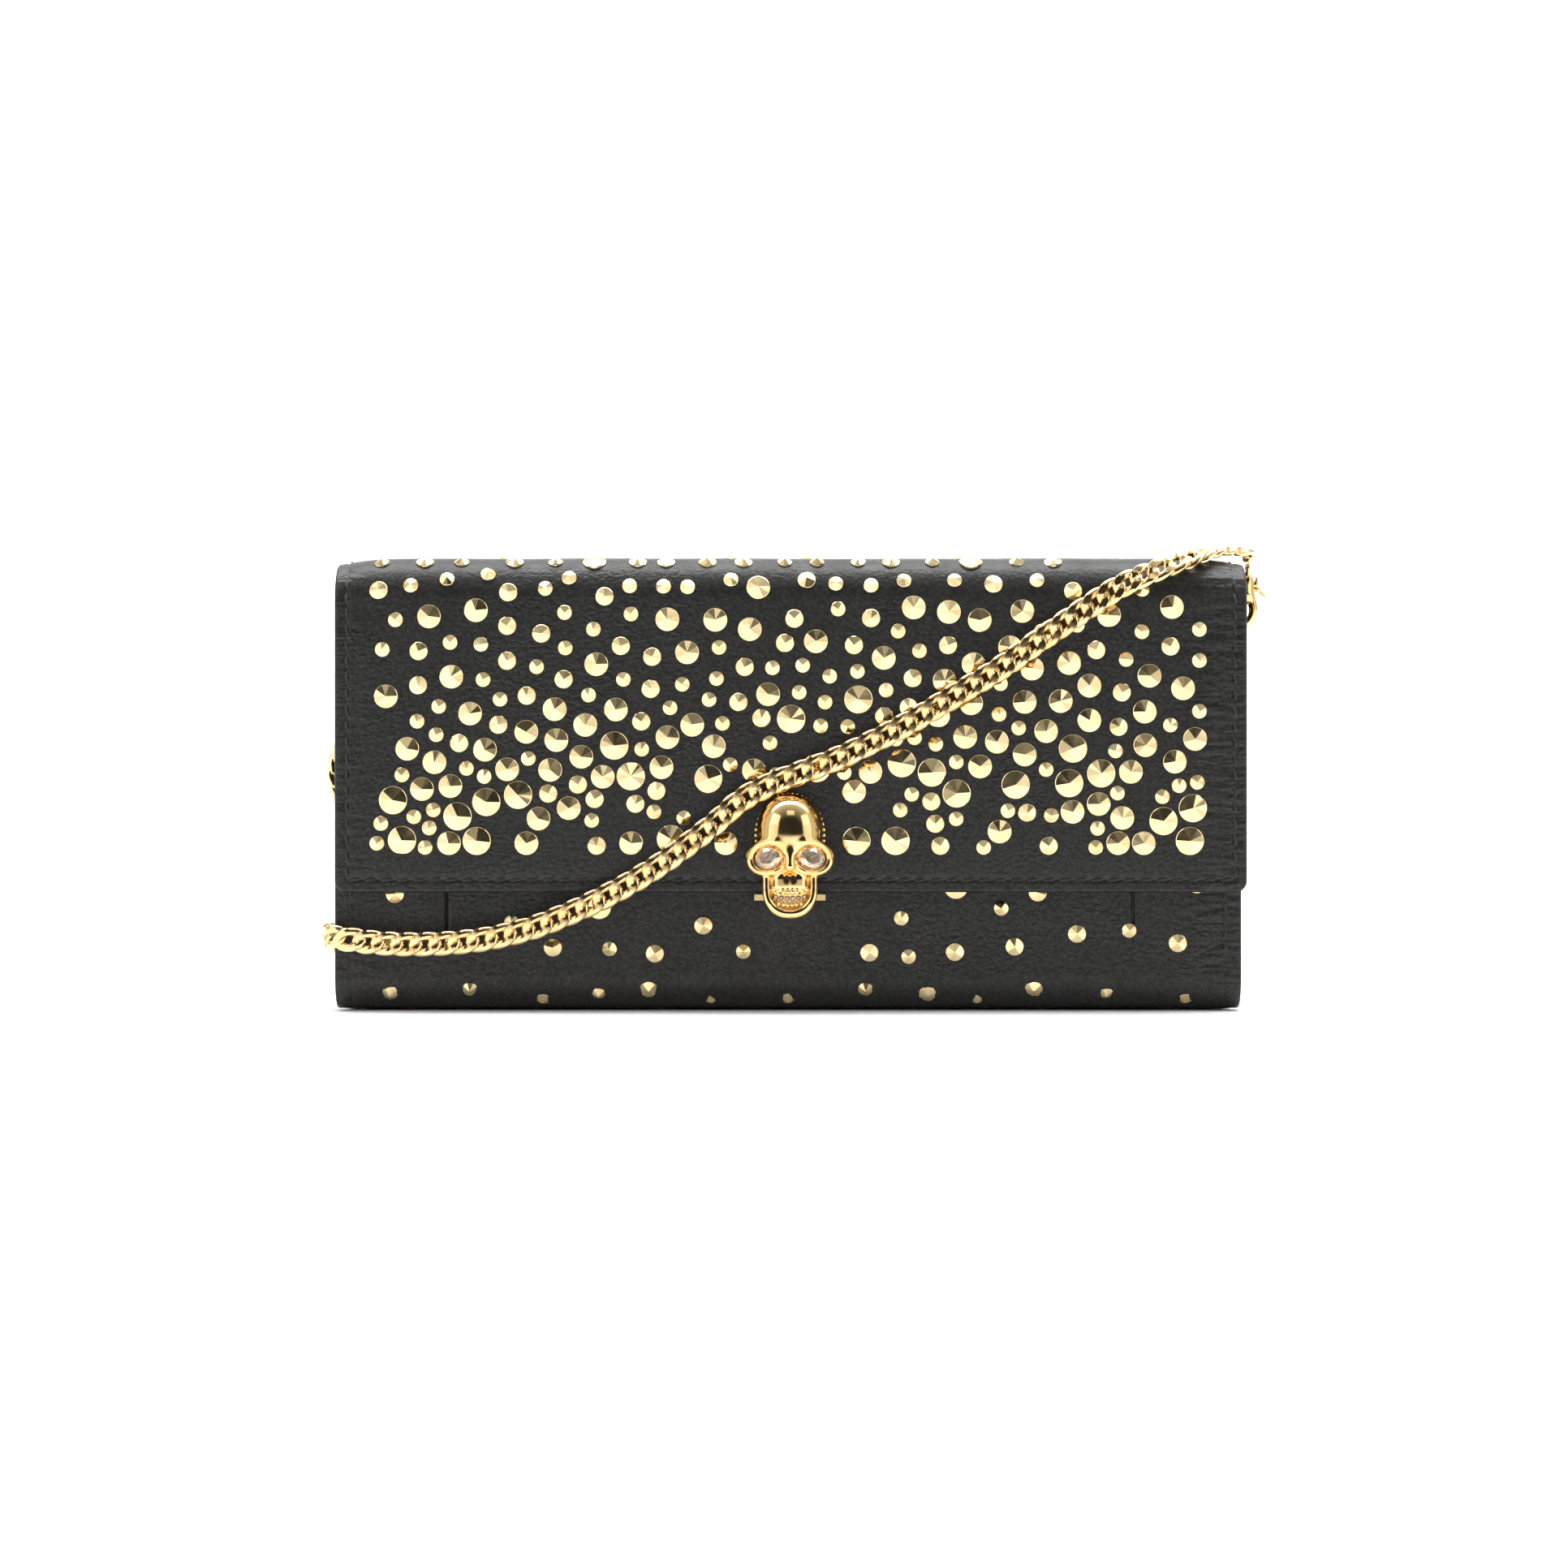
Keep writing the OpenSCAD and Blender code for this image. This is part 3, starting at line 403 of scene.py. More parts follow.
def panel(profile, width, middle, thick, edge, step=1.1, corner=0.0, corner_end="end", raised=None,
          marks_x=(), marks_s=()):
    """A closed sheet of leather swept across X along a profile in Y and Z, with rounded edges and corners.
    raised(x, s, length, d) lifts the outer face, s along the profile and d from the nearest edge.
    thick is a number, or a function of s and d."""
    dense, dense_s = resample(profile, 0.2)
    length = dense_s[-1]
    s_lines = panel_lines(length, edge, marks_s, step)
    if corner:
        near = np.linspace(0, corner, 9)
        extra = length - near if corner_end == "end" else near
        s_lines = np.unique(np.round(np.concatenate([s_lines, extra]), 3))
    u_lines = panel_lines(width, edge, marks_x, step)
    centre = np.stack([np.interp(s_lines, dense_s, dense[:, k]) for k in (0, 1)], 1)
    tangent = unit(np.gradient(dense, axis=0))
    tangent = np.stack([np.interp(s_lines, dense_s, tangent[:, k]) for k in (0, 1)], 1)
    normal = unit(np.stack([tangent[:, 1], -tangent[:, 0]], 1))
    to_end = length - s_lines if corner_end == "end" else s_lines
    cut = rounded_off(to_end, corner)
    half = width / 2
    u = u_lines[None, :] - half
    x = np.sign(u) * np.maximum(0, np.abs(u) - cut[:, None] * (np.abs(u) / half) ** 6)
    s = np.repeat(s_lines[:, None], len(u_lines), 1)
    side = half - cut[:, None] - np.abs(x)
    d = np.minimum(np.maximum(side, 0), np.minimum(s, length - s))
    dip = rounded_off(d, edge)
    t = thick(s, d) if callable(thick) else thick + 0 * s
    lift = raised(x + middle, s, length, d) if raised else 0 * s
    outer = lift - np.minimum(dip, t * 0.45)
    inner = -t + np.minimum(dip, t * 0.45)
    grid = []
    for offset in (outer, inner):
        y = centre[:, None, 0] + normal[:, None, 0] * offset
        z = centre[:, None, 1] + normal[:, None, 1] * offset
        grid.append(np.stack([x + middle, y, z], 2).reshape(-1, 3))
    return np.vstack(grid), sheet_faces(*s.shape)


def profile_at(profile, distance, outward=0.0):
    """A point on a profile and its outward normal, in Y and Z."""
    dense, dense_s = resample(profile, 0.2)
    tangents = unit(np.gradient(dense, axis=0))
    p = np.array([np.interp(distance, dense_s, dense[:, k]) for k in (0, 1)])
    t = unit(np.array([np.interp(distance, dense_s, tangents[:, k]) for k in (0, 1)]))
    n = np.array([t[1], -t[0]])
    return p + n * outward, n, t


def profile_length(profile):
    return resample(profile, 0.2)[1][-1]


# ---- stitches ----

def stitch(centre, along, out, length, radius):
    """One stitch: a short round thread whose ends dive into the leather."""
    rings, sides = 7, 6
    along, out = unit(np.array(along, float)), unit(np.array(out, float))
    across = np.cross(along, out)
    points = []
    for t in np.linspace(-1, 1, rings):
        r = radius * (1 - 0.55 * abs(t) ** 3)
        lift = 0.75 * radius * (1 - 2.2 * t**4)
        middle = np.array(centre) + along * t * length / 2 + out * lift
        for k in range(sides):
            a = 2 * math.pi * k / sides
            points.append(middle + r * (math.cos(a) * across + math.sin(a) * out))
    return np.array(points), ring_faces(rings, sides)


def stitch_row(places, pitch=3.5, gap=0.9, radius=0.3, slant=9):
    """Stitches along a row. places are points with outward normals, close together."""
    points = np.array([p for p, _ in places])
    normals = np.array([n for _, n in places])
    along = np.concatenate([[0], np.cumsum(np.linalg.norm(np.diff(points, axis=0), axis=1))])
    count = max(1, int(along[-1] / pitch))
    parts = []
    for i in range(count):
        s = (i + 0.5) * along[-1] / count
        p, before, after = [np.array([np.interp(at, along, points[:, k]) for k in range(3)])
                            for at in (s, s - 0.4, s + 0.4)]
        n = unit(np.array([np.interp(s, along, normals[:, k]) for k in range(3)]))
        a = unit(after - before)
        turn = math.radians(slant)
        a = unit(a * math.cos(turn) + np.cross(n, a) * math.sin(turn))
        parts.append(stitch(p, a, n, along[-1] / count - gap, radius))
    return parts


def row_down(profile, x, start, end, lift=0.0):
    """A row of places down a profile at one x."""
    places = []
    for s in np.linspace(start, end, max(2, int(abs(end - start)))):
        p, n, _ = profile_at(profile, s, lift)
        places.append(((x, *p), (0, *n)))
    return places


def row_across(profile, s, x0, x1, lift=0.0):
    p, n, _ = profile_at(profile, s, lift)
    return [((x, *p), (0, *n)) for x in np.linspace(x0, x1, 60)]


# ---- solid shapes from distance fields ----

def surface_net(field, low, high, cell, smoothing=1):
    """The surface where a distance field is zero, as a quad mesh of near-even cells."""
    axes = [np.arange(a, b + cell, cell) for a, b in zip(low, high)]
    grid = np.stack(np.meshgrid(*axes, indexing="ij"), -1)
    value = field(grid)
    inside = value < 0
    shape = np.array(value.shape)
    total = np.zeros((*(shape - 1), 3))
    crossings = np.zeros(shape - 1)
    for axis in range(3):
        one = [slice(None)] * 3
        two = [slice(None)] * 3
        one[axis], two[axis] = slice(0, -1), slice(1, None)
        a, b = value[tuple(one)], value[tuple(two)]
        crossed = (a < 0) != (b < 0)
        t = np.where(crossed, a / np.where(crossed, a - b, 1), 0)
        place = grid[tuple(one)].copy()
        place[..., axis] += t * cell
        others = [k for k in range(3) if k != axis]
        for i in (0, 1):
            for j in (0, 1):
                take = [slice(None)] * 3
                for k, shift in zip(others, (i, j)):
                    take[k] = slice(shift, shape[k] - 1 + shift)
                take = tuple(take)
                total += np.where(crossed[take][..., None], place[take], 0)
                crossings += crossed[take]
    used = crossings > 0
    number = -np.ones(used.shape, int)
    number[used] = np.arange(used.sum())
    points = total[used] / crossings[used][:, None]
    faces = []
    for axis in range(3):
        one, two = [slice(1, -1)] * 3, [slice(1, -1)] * 3
        one[axis], two[axis] = slice(0, -1), slice(1, None)
        a, b = inside[tuple(one)], inside[tuple(two)]
        crossed = np.argwhere(a != b)
        rising = a[tuple(crossed.T)]
        u, v = [k for k in range(3) if k != axis]
        base = crossed.copy()
        base[:, u] += 1
        base[:, v] += 1
        corner = []
        for du, dv in ((-1, -1), (0, -1), (0, 0), (-1, 0)):
            c = base.copy()
            c[:, u] += du
            c[:, v] += dv
            corner.append(number[tuple(c.T)])
        quads = np.stack(corner, 1)
        flip = rising if axis != 1 else ~rising
        quads[~flip] = quads[~flip][:, ::-1]
        faces.append(quads)
    faces = np.vstack(faces)
    for _ in range(smoothing):
        near = np.zeros_like(points)
        count = np.zeros(len(points))
        for k in range(4):
            a, b = faces[:, k], faces[:, (k + 1) % 4]
            np.add.at(near, a, points[b])
            np.add.at(near, b, points[a])
            np.add.at(count, a, 1)
            np.add.at(count, b, 1)
        points = points * 0.5 + near / count[:, None] * 0.5
    return points, faces.tolist()


def ball(p, centre, radii):
    radii = np.array(radii, float) * np.ones(3)
    q = (p - np.array(centre)) / radii
    k = np.linalg.norm(q, axis=-1)
    return (k - 1) * radii.min()


def boxy_ball(p, centre, radii, power=2.5):
    """A ball with flatter faces, as a rounded box has."""
    q = np.abs(p - np.array(centre)) / np.array(radii, float)
    return ((q**power).sum(-1) ** (1 / power) - 1) * min(radii)


def rod(p, a, b, ra, rb=None):
    """A round rod from a to b whose radius goes from ra to rb."""
    a, b = np.array(a, float), np.array(b, float)
    rb = ra if rb is None else rb
    t = np.clip(((p - a) @ (b - a)) / ((b - a) @ (b - a)), 0, 1)
    return np.linalg.norm(p - a - t[..., None] * (b - a), axis=-1) - (ra + (rb - ra) * t)


def brick(p, centre, half, round_r):
    q = np.abs(p - np.array(centre)) - np.array(half) + round_r
    return np.linalg.norm(np.maximum(q, 0), axis=-1) + np.minimum(q.max(-1), 0) - round_r


def blend_in(a, b, k):
    h = np.clip(0.5 + 0.5 * (b - a) / k, 0, 1)
    return b * (1 - h) + a * h - k * h * (1 - h)


def carve(a, b, k):
    return -blend_in(-a, b, k)


# ---- camera, light and floor ----

def soft_box(name, place, aim, size, radiance):
    light = bpy.data.lights.new(name, "AREA")
    light.shape, light.size, light.size_y = "RECTANGLE", *size
    light.energy = radiance * math.pi * size[0] * size[1]
    lamp = bpy.data.objects.new(name, light)
    scene.collection.objects.link(lamp)
    lamp.location = place
    lamp.rotation_euler = (Vector(aim) - Vector(place)).to_track_quat("-Z", "Y").to_euler()


def set_stage():
    camera = bpy.data.objects.new("camera", bpy.data.cameras.new("camera"))
    scene.collection.objects.link(camera)
    camera.data.lens = 100
    camera.data.sensor_width = 36
    camera.location = Vector((-0.9, FLAP_Y - 957, 50.1)) * MM
    camera.rotation_euler = (math.radians(90), 0, 0)
    camera.data.clip_start, camera.data.clip_end = 0.01, 50
    scene.camera = camera
    scene.view_settings.view_transform = "Standard"

    steps = [(-3.0, 0.0), (0.7, 0.0)]
    steps += [(0.7 + 0.5 * math.sin(a), 0.5 - 0.5 * math.cos(a)) for a in np.linspace(0.1, math.pi / 2, 14)]
    steps += [(1.2, 2.6)]
    points = [(x, y, z) for y, z in steps for x in (-3.0, 3.0)]
    faces = [(2 * i, 2 * i + 1, 2 * i + 3, 2 * i + 2) for i in range(len(steps) - 1)]
    mesh = bpy.data.meshes.new("floor")
    mesh.from_pydata(points, [], faces)
    mesh.materials.append(floor_material())
    mesh.polygons.foreach_set("use_smooth", [True] * len(mesh.polygons))
    floor = bpy.data.objects.new("floor", mesh)
    scene.collection.objects.link(floor)

    soft_box("key_left_high", (-0.85, -0.62, 0.68), (0, 0, 0.3), (0.72, 0.49), 1.5)
    soft_box("key_left_low", (-0.85, -0.62, 0.18), (0, 0, -0.2), (0.72, 0.49), 0.98)
    soft_box("key_right_high", (0.88, -0.58, 0.64), (0, 0, 0.29), (0.62, 0.46), 1.3)
    soft_box("key_right_low", (0.88, -0.58, 0.16), (0, 0, -0.19), (0.62, 0.46), 0.88)
    soft_box("front_top", (0.04, -0.78, 0.98), (0, 0, 0.05), (0.36, 0.3), 0.9)
    soft_box("overhead", (0, 0.35, 1.4), (0, 0.1, 0), (1.8, 1.0), 3.2)
    soft_box("backdrop", (0, 0.1, 1.2), (0, 1.1, 0.3), (2.2, 0.6), 6.0)

    world = bpy.data.worlds.new("studio")
    scene.world = world
    world.use_nodes = True
    tree = world.node_tree
    where = node(tree, "ShaderNodeTexCoord")
    split = node(tree, "ShaderNodeSeparateXYZ")
    tree.links.new(where.outputs["Generated"], split.inputs["Vector"])
    sky = tree.nodes["Background"]
    tree.links.new(ranged(tree, split.outputs["Y"], -0.8, -0.1, 0.03, 0.75), sky.inputs["Strength"])
    sky.inputs["Color"].default_value = (1, 1, 1, 1)


set_stage()


# ---- chain ----

CHAIN_W, CHAIN_T, PITCH = 5.5, 2.4, 4.15
RUN_ROUTE = [
    [102.6, 0.4, 100.2], [102.6, 0.3, 101], [101.8, -0.6, 101.8], [98.6, -3.4, 102], [94, -8, 101.6],
    [89, -12.6, 100], [81, -16.2, 97], [73, -17.5, 93.5], [64, -17.6, 87.7], [55, -17.6, 81.5],
    [46, -17.6, 75.2], [37, -17.6, 69.8], [28, -17.6, 64.4], [19, -17.6, 59.6], [10.5, -17.6, 55.6],
    [3.5, -17.6, 52.9], [-4, -17.6, 50], [-10, -17.6, 46.7], [-16, -17.6, 41.5], [-22, -17.6, 36.8],
    [-29, -17.6, 31.8], [-36, -17.6, 27.6], [-43, -17.6, 24], [-50, -17.6, 20.9], [-57, -17.6, 18.3],
    [-66, -17.6, 16.2], [-75, -17.6, 15.2], [-84, -17.6, 15], [-91, -17.5, 15.4], [-96.5, -16.6, 16],
]
WRAP_ROUTE = [
    [-97.6, -16.1, 16.1], [-100.6, -13.8, 16.5], [-102, -9, 16.8], [-102.3, -2, 16.8], [-102.4, 5, 16.3],
    [-102, 11.8, 15], [-100.4, 18, 12.2], [-98.6, 21.6, 8.6], [-96.6, 24.6, 4.8], [-94.4, 28, 2.2],
    [-92.2, 32, 1.4], [-90.6, 36.5, 1.3], [-90, 41.5, 1.3],
]
COIL_R, COIL_TURNS, COIL_PITCH, COIL_FRONT_Y = 21, 4.75, 2.5, 20.5
COIL_CENTRE = (-90 + COIL_R, COIL_FRONT_Y + COIL_R)
TAIL_ROUTE = [
    [COIL_CENTRE[0], COIL_FRONT_Y, 13.2], [-76, 20.2, 13.3], [-83, 19.6, 14.6], [-88.6, 18.9, 17.8],
    [-92.4, 18.4, 22.8], [-95, 18.2, 29], [-97, 18.2, 36], [-99, 18, 42.4], [-101.2, 16.4, 48.2],
    [-102.2, 13, 53.4], [-101.4, 8.4, 58], [-99.4, 4.2, 61.8], [-97.6, 1.6, 64.4], [-96.8, 0.6, 66.2],
]


def coil_points():
    """The coil's turns, clockwise from above, rising one chain thickness a turn."""
    made = []
    for t in np.linspace(0, COIL_TURNS, int(COIL_TURNS * 24) + 1)[1:-1]:
        a = math.pi - 2 * math.pi * t
        x, y = COIL_CENTRE[0] + COIL_R * math.cos(a), COIL_CENTRE[1] + COIL_R * math.sin(a)
        made.append([x, y, 1.3 + COIL_PITCH * t])
    return made


def core_out(p):
    """The chain's flat side faces away from the wallet's core."""
    reach_x = 97 if p[2] > 90 else 92
    core = (np.clip(p[0], -92, reach_x), np.clip(p[1], -ROLL_Y, ROLL_Y), np.clip(p[2], 10, TOP_Z))
    return unit(np.array(p, float) - core)


def wrap_out(p):
    """On its way down to the table it turns to face up."""
    k = np.clip((38 - p[1]) / 26, 0, 1)
    return core_out(p) if k == 1 else unit(np.array([-k, k / 2, 1.3 * (1 - k)]))


def tail_out(p):
    """On its way up from the coil it turns to face the back."""
    k = np.clip((p[2] - 13) / 16, 0, 1)
    return unit(k * core_out(p) + np.array([0, 0, 1 - k]))


def curb_link(half_length, half_w, twist, lean, wire_w, wire_t, flat, around=34, sides=12):
    """One curb link along X: an oval ring twisted to let its neighbours through, its faces filed flat."""
    t = np.linspace(0, 2 * math.pi, around, endpoint=False)
    x = half_length * np.sign(np.cos(t)) * np.abs(np.cos(t)) ** 0.9
    y = half_w * np.sign(np.sin(t)) * np.abs(np.sin(t)) ** 0.85
    centre = np.stack([x + lean * y, y, -twist * np.sin(2 * t)], 1)
    tangent = unit(np.roll(centre, -1, 0) - np.roll(centre, 1, 0))
    outward = unit(np.cross(tangent, np.array([0, 0, 1.0])))
    upward = np.cross(outward, tangent)
    points = []
    for k in range(sides):
        a = 2 * math.pi * (k + 0.5) / sides
        points.append(centre + wire_w * math.cos(a) * outward + wire_t * math.sin(a) * upward)
    points = np.stack(points, 1).reshape(-1, 3)
    points[:, 2] = np.clip(points[:, 2], -flat, flat)
    return points, [(a, d, c, b) for a, b, c, d in ring_faces(around, sides, closed=True)]


def chain(name, route, outs, body, replaced, last=3.2, swings_with=None):
    """Links along a route, as one piece.
    last is from the last link's middle to the route's end.
    A chain that swings with a second body is left unattached, its transform baked."""
    path, along = resample(curve_through(np.hstack([route, outs]))[:, :6], 0.25)
    along = np.concatenate([[0], np.cumsum(np.linalg.norm(np.diff(path[:, :3], axis=0), axis=1))])
    path, out = path[:, :3], path[:, 3:]
    ahead = unit(np.gradient(path, axis=0))
    kernel = np.hanning(41)
    for k in range(3):
        out[:, k] = np.convolve(np.pad(out[:, k], 20, mode="edge"), kernel / kernel.sum(), mode="valid")
    out = unit(out - (out * ahead).sum(1)[:, None] * ahead)
    side = np.cross(out, ahead)
    wire_w, wire_t = 0.95, 0.78
    half_length = PITCH / 2 + 0.7
    link_points, link_faces = curb_link(half_length, CHAIN_W / 2 - wire_w, 0.6, 0.42, wire_w, wire_t,
                                        CHAIN_T / 2 - 0.14)
    along_link, across_link, above_link = link_points[:, 0], link_points[:, 1:2], link_points[:, 2:3]
    reach = half_length + wire_w
    first, final = reach - 0.5, along[-1] - last
    parts = []
    for s in np.linspace(first, final, int(round((final - first) / PITCH)) + 1):
        spread = s + along_link
        base = np.stack([np.interp(spread, along, path[:, k]) for k in range(3)], 1)
        over = spread - np.clip(spread, 0, along[-1])
        forward, across, above = [unit(np.stack([np.interp(spread, along, v[:, k]) for k in range(3)], 1))
                                  for v in (ahead, side, out)]
        placed = base + over[:, None] * forward + across_link * across + above_link * above
        parts.append((placed, link_faces))
    points, faces = joined(parts)
    points[:, 2] = np.maximum(points[:, 2], 0.02)
    made = make_piece(name, points, faces, CHAIN_GOLD, None if swings_with else body, "chain_gold",
                      replaced=replaced, split=34)
    if swings_with:
        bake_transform(made)
    return made


chain("curb_chain_front", RUN_ROUTE, [core_out(p) for p in RUN_ROUTE], "chain_front",
      ["chain_run"], last=0.4)
back_coil = coil_points()
chain("curb_chain_back", WRAP_ROUTE + back_coil + TAIL_ROUTE,
      [wrap_out(p) for p in WRAP_ROUTE] + [(0, 0, 1)] * len(back_coil) + [tail_out(p) for p in TAIL_ROUTE],
      "root", ["chain_wrap", "chain_coil", "chain_tail"], swings_with="ring_left")


# ---- leather panels ----

STITCH_IN = 2.7
SAG = 0.82


def pressed(d, at=STITCH_IN, deep=0.22):
    return -deep * np.exp(-(((d - at) / 0.45) ** 2))


def soft_waves(x, s, height):
    return height * (np.sin(x * 0.071 + 0.6) * np.sin(s * 0.11 + 1.1) + 0.6 * np.sin(x * 0.19 + s * 0.13))


def top_drop(points, start=86.0, depth=1.5, reach=15.0):
    """The top roll sinks a little towards both ends, because nothing fills it there."""
    out = np.clip((np.abs(points[:, 0] - FLAP_X) - start) / reach, 0, 1)
    points[:, 2] -= depth * out**2 * smoothstep(86, 99, points[:, 2])
    return points


def over_the_top(start, low_z):
    """From the back of the top roll, over it and down the front of the flap to a height."""
    back, front = arc((ROLL_Y, TOP_Z), TOP_R, start, 90), arc((-ROLL_Y, TOP_Z), TOP_R, 90, 180)
    return back + front + [(FLAP_Y, low_z)]


TOP_PROFILE = over_the_top(6, FLAP_LOW)
SKIN, FULL = 1.1, 2.0


def flap_thick(s, d):
    start = smoothstep(1.0, 4.5, s)
    return (SKIN + (FULL - SKIN) * (1 - smoothstep(1.6, 2.4, d))) * (0.45 + 0.55 * start)


def flap_raised(x, s, length, d):
    skived = -0.75 * (1 - smoothstep(2.0, 4.5, s))
    crown = 0.12 * smoothstep(0.5, 8, d)
    return crown + pressed(d) * smoothstep(6, 9, s) + soft_waves(x, s, 0.05) * smoothstep(2, 9, d) + skived


def make_flap():
    points, faces = panel(TOP_PROFILE, FLAP_W, FLAP_X, flap_thick, 0.65, corner=2.5, raised=flap_raised,
                          marks_x=(STITCH_IN, FLAP_W - STITCH_IN),
                          marks_s=(profile_length(TOP_PROFILE) - STITCH_IN,))
    flap = make_piece("flap_cover", top_drop(points), faces, LEATHER, None, "leather", painted=True,
                      replaced=["flap_leather", "spine_leather"])
    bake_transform(flap)

    inner = offset_profile(over_the_top(16, FLAP_LOW + 2.4), -1.5)
    points, faces = panel(inner, FLAP_W - 5, FLAP_X, 0.5, 0.2, step=2.0,
                          raised=lambda x, s, length, d: soft_waves(x, s, 0.03))
    lining = make_piece("flap_inside_lining", top_drop(points), faces, SMOOTH_LEATHER, None, "lining",
                        replaced=["flap_lining", "spine_lining"])
    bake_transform(lining)


def offset_profile(profile, by):
    dense, _ = resample(profile, 0.8)
    tangent = unit(np.gradient(dense, axis=0))
    return (dense + by * np.stack([tangent[:, 1], -tangent[:, 0]], 1)).tolist()


make_flap()

FRONT_PROFILE = [(FRONT_Y, 90.0)] + arc((LOW_FRONT_Y, LOW_Z), LOW_R, 180, 270) + [(-2.0, LOW_Z - LOW_R)]


def front_thick(s, d):
    return SKIN + 0.9 * (1 - smoothstep(1.2, 2.0, np.minimum(d, s))) * (s < 60)


def slit_groove(x):
    return sum(-0.9 * np.exp(-(((x - at - 0.25) / 0.33) ** 2)) for at in (-75.6, 75.8))


def front_raised(x, s, length, d):
    slits = slit_groove(x) * smoothstep(3.0, 5.0, s) * (1 - smoothstep(73.5, 74.9, s))
    low = smoothstep(length - 14, length - 5, s)
    waves = soft_waves(x, s, 0.05) * smoothstep(2, 9, d) * (1 - low)
    return pressed(d, 3.6, 0.12) + waves + slits + SAG * low


def make_front():
    slit_lines = [at + 0.25 + BODY_W / 2 for at in (-75.6, 75.8)]
    points, faces = panel(FRONT_PROFILE, BODY_W, 0, front_thick, 0.5, corner=4.0, raised=front_raised,
                          marks_x=(3.6, BODY_W - 3.6, *slit_lines))
    front = make_piece("front_cover", points, faces, LEATHER, None, "leather", painted=True,
                       replaced=["front_panel", "bottom_panel"])
    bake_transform(front)


make_front()

BACK_PROFILE = [(-2.3, LOW_Z - LOW_R)] + arc((LOW_BACK_Y, LOW_Z), LOW_R, -90, 0)
BACK_PROFILE += arc((ROLL_Y, TOP_Z), TOP_R, 0, 22)


def back_thick(s, d):
    length = profile_length(BACK_PROFILE)
    return 1.4 - 0.75 * smoothstep(length - 7, length - 4, s)


def back_raised(x, s, length, d):
    upright = pressed(d, 3.0, 0.12) + soft_waves(x, s, 0.06) * smoothstep(2, 9, d)
    return upright * smoothstep(14, 20, s) + SAG * (1 - smoothstep(9, 19, s))


def make_back():
    points, faces = panel(BACK_PROFILE, BODY_W - 2, 0, back_thick, 0.45, corner=4.0, corner_end="start",
                          raised=back_raised, marks_x=(3.0, BODY_W - 5.0),
                          marks_s=(profile_length(BACK_PROFILE) - 3.0,))
    back = make_piece("back_cover", top_drop(points), faces, LEATHER, None, "leather", painted=True,
                      replaced=["back_panel"])
    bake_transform(back)


make_back()


def make_stitching():
    length = profile_length(TOP_PROFILE)
    lift = -0.06
    front_parts, spine_parts = [], []
    left, right = FLAP_X - FLAP_W / 2 + STITCH_IN, FLAP_X + FLAP_W / 2 - STITCH_IN
    for x in (left, right):
        front_parts += stitch_row(row_down(TOP_PROFILE, x, 34, length - STITCH_IN, lift))
        spine_parts += stitch_row(row_down(TOP_PROFILE, x, 9, 24, lift))
    front_parts += stitch_row(row_across(TOP_PROFILE, length - STITCH_IN, left, right, lift))
    for name, parts, body in (("flap_stitches", front_parts, "flap_front"),
                              ("top_stitches", spine_parts, "flap_spine")):
        points, faces = joined(parts)
        make_piece(name, top_drop(points), faces, THREAD, body, "zip_tape")

    parts = []
    for x in (-BODY_W / 2 + 3.6, BODY_W / 2 - 3.6):
        parts += stitch_row(row_down(FRONT_PROFILE, x, 4, 77, -0.05), pitch=2.8)
    for at in (-75.35, 76.05):
        for side in (-2.6, 2.8):
            parts += stitch_row(row_down(FRONT_PROFILE, at + side, 4, 76.5, 0.0), pitch=2.8, radius=0.26)
    make_piece("front_stitches", *joined(parts), THREAD, "front", "zip_tape")

    parts = []
    back_length = profile_length(BACK_PROFILE)
    for x in (-BODY_W / 2 + 4.0, BODY_W / 2 - 4.0):
        parts += stitch_row(row_down(BACK_PROFILE, x, 24, back_length - 9, -0.05), pitch=2.8)
        parts += stitch_row(row_down(BACK_PROFILE, x, 8, 22, -0.05), pitch=2.8)
    make_piece("back_stitches", *joined(parts), THREAD, "root", "zip_tape")
    hinge_row = row_across(BACK_PROFILE, back_length - 1.6, -BODY_W / 2 + 5, BODY_W / 2 - 5, -0.05)
    points, faces = joined(stitch_row(hinge_row))
    make_piece("hinge_stitches", top_drop(points), faces, THREAD, "flap_spine", "zip_tape")


make_stitching()


# ---- studs ----

def loose_parts(name):
    """Each separate solid of a CAD node, as its points in millimetres."""
    mesh = frame["nodes"][name].data
    co = np.array([v.co for v in mesh.vertices], float) / MM
    keys = {}
    same = np.array([keys.setdefault(tuple(np.round(p, 3)), len(keys)) for p in co])
    parent = list(range(len(keys)))

    def root_of(i):
        while parent[i] != i:
            parent[i] = parent[parent[i]]
            i = parent[i]
        return i

    for edge in mesh.edges:
        a, b = root_of(same[edge.vertices[0]]), root_of(same[edge.vertices[1]])
        parent[a] = b
    groups = {}
    for i, s in enumerate(same):
        groups.setdefault(root_of(s), []).append(i)
    return [co[g] for g in sorted(groups.values(), key=lambda g: tuple(np.round(co[g].mean(0), 2)))]


def outward_at(p):
    """Which way the leather faces at a point on the wallet's outside."""
    x, y, z = p
    if z > TOP_Z:
        return unit(np.array([0, y - np.clip(y, -ROLL_Y, ROLL_Y), z - TOP_Z]))
    if z < LOW_Z:
        return unit(np.array([0, y - np.clip(y, LOW_FRONT_Y, LOW_BACK_Y), z - LOW_Z]))
    return np.array([0, 1.0 if y > 0 else -1.0, 0])


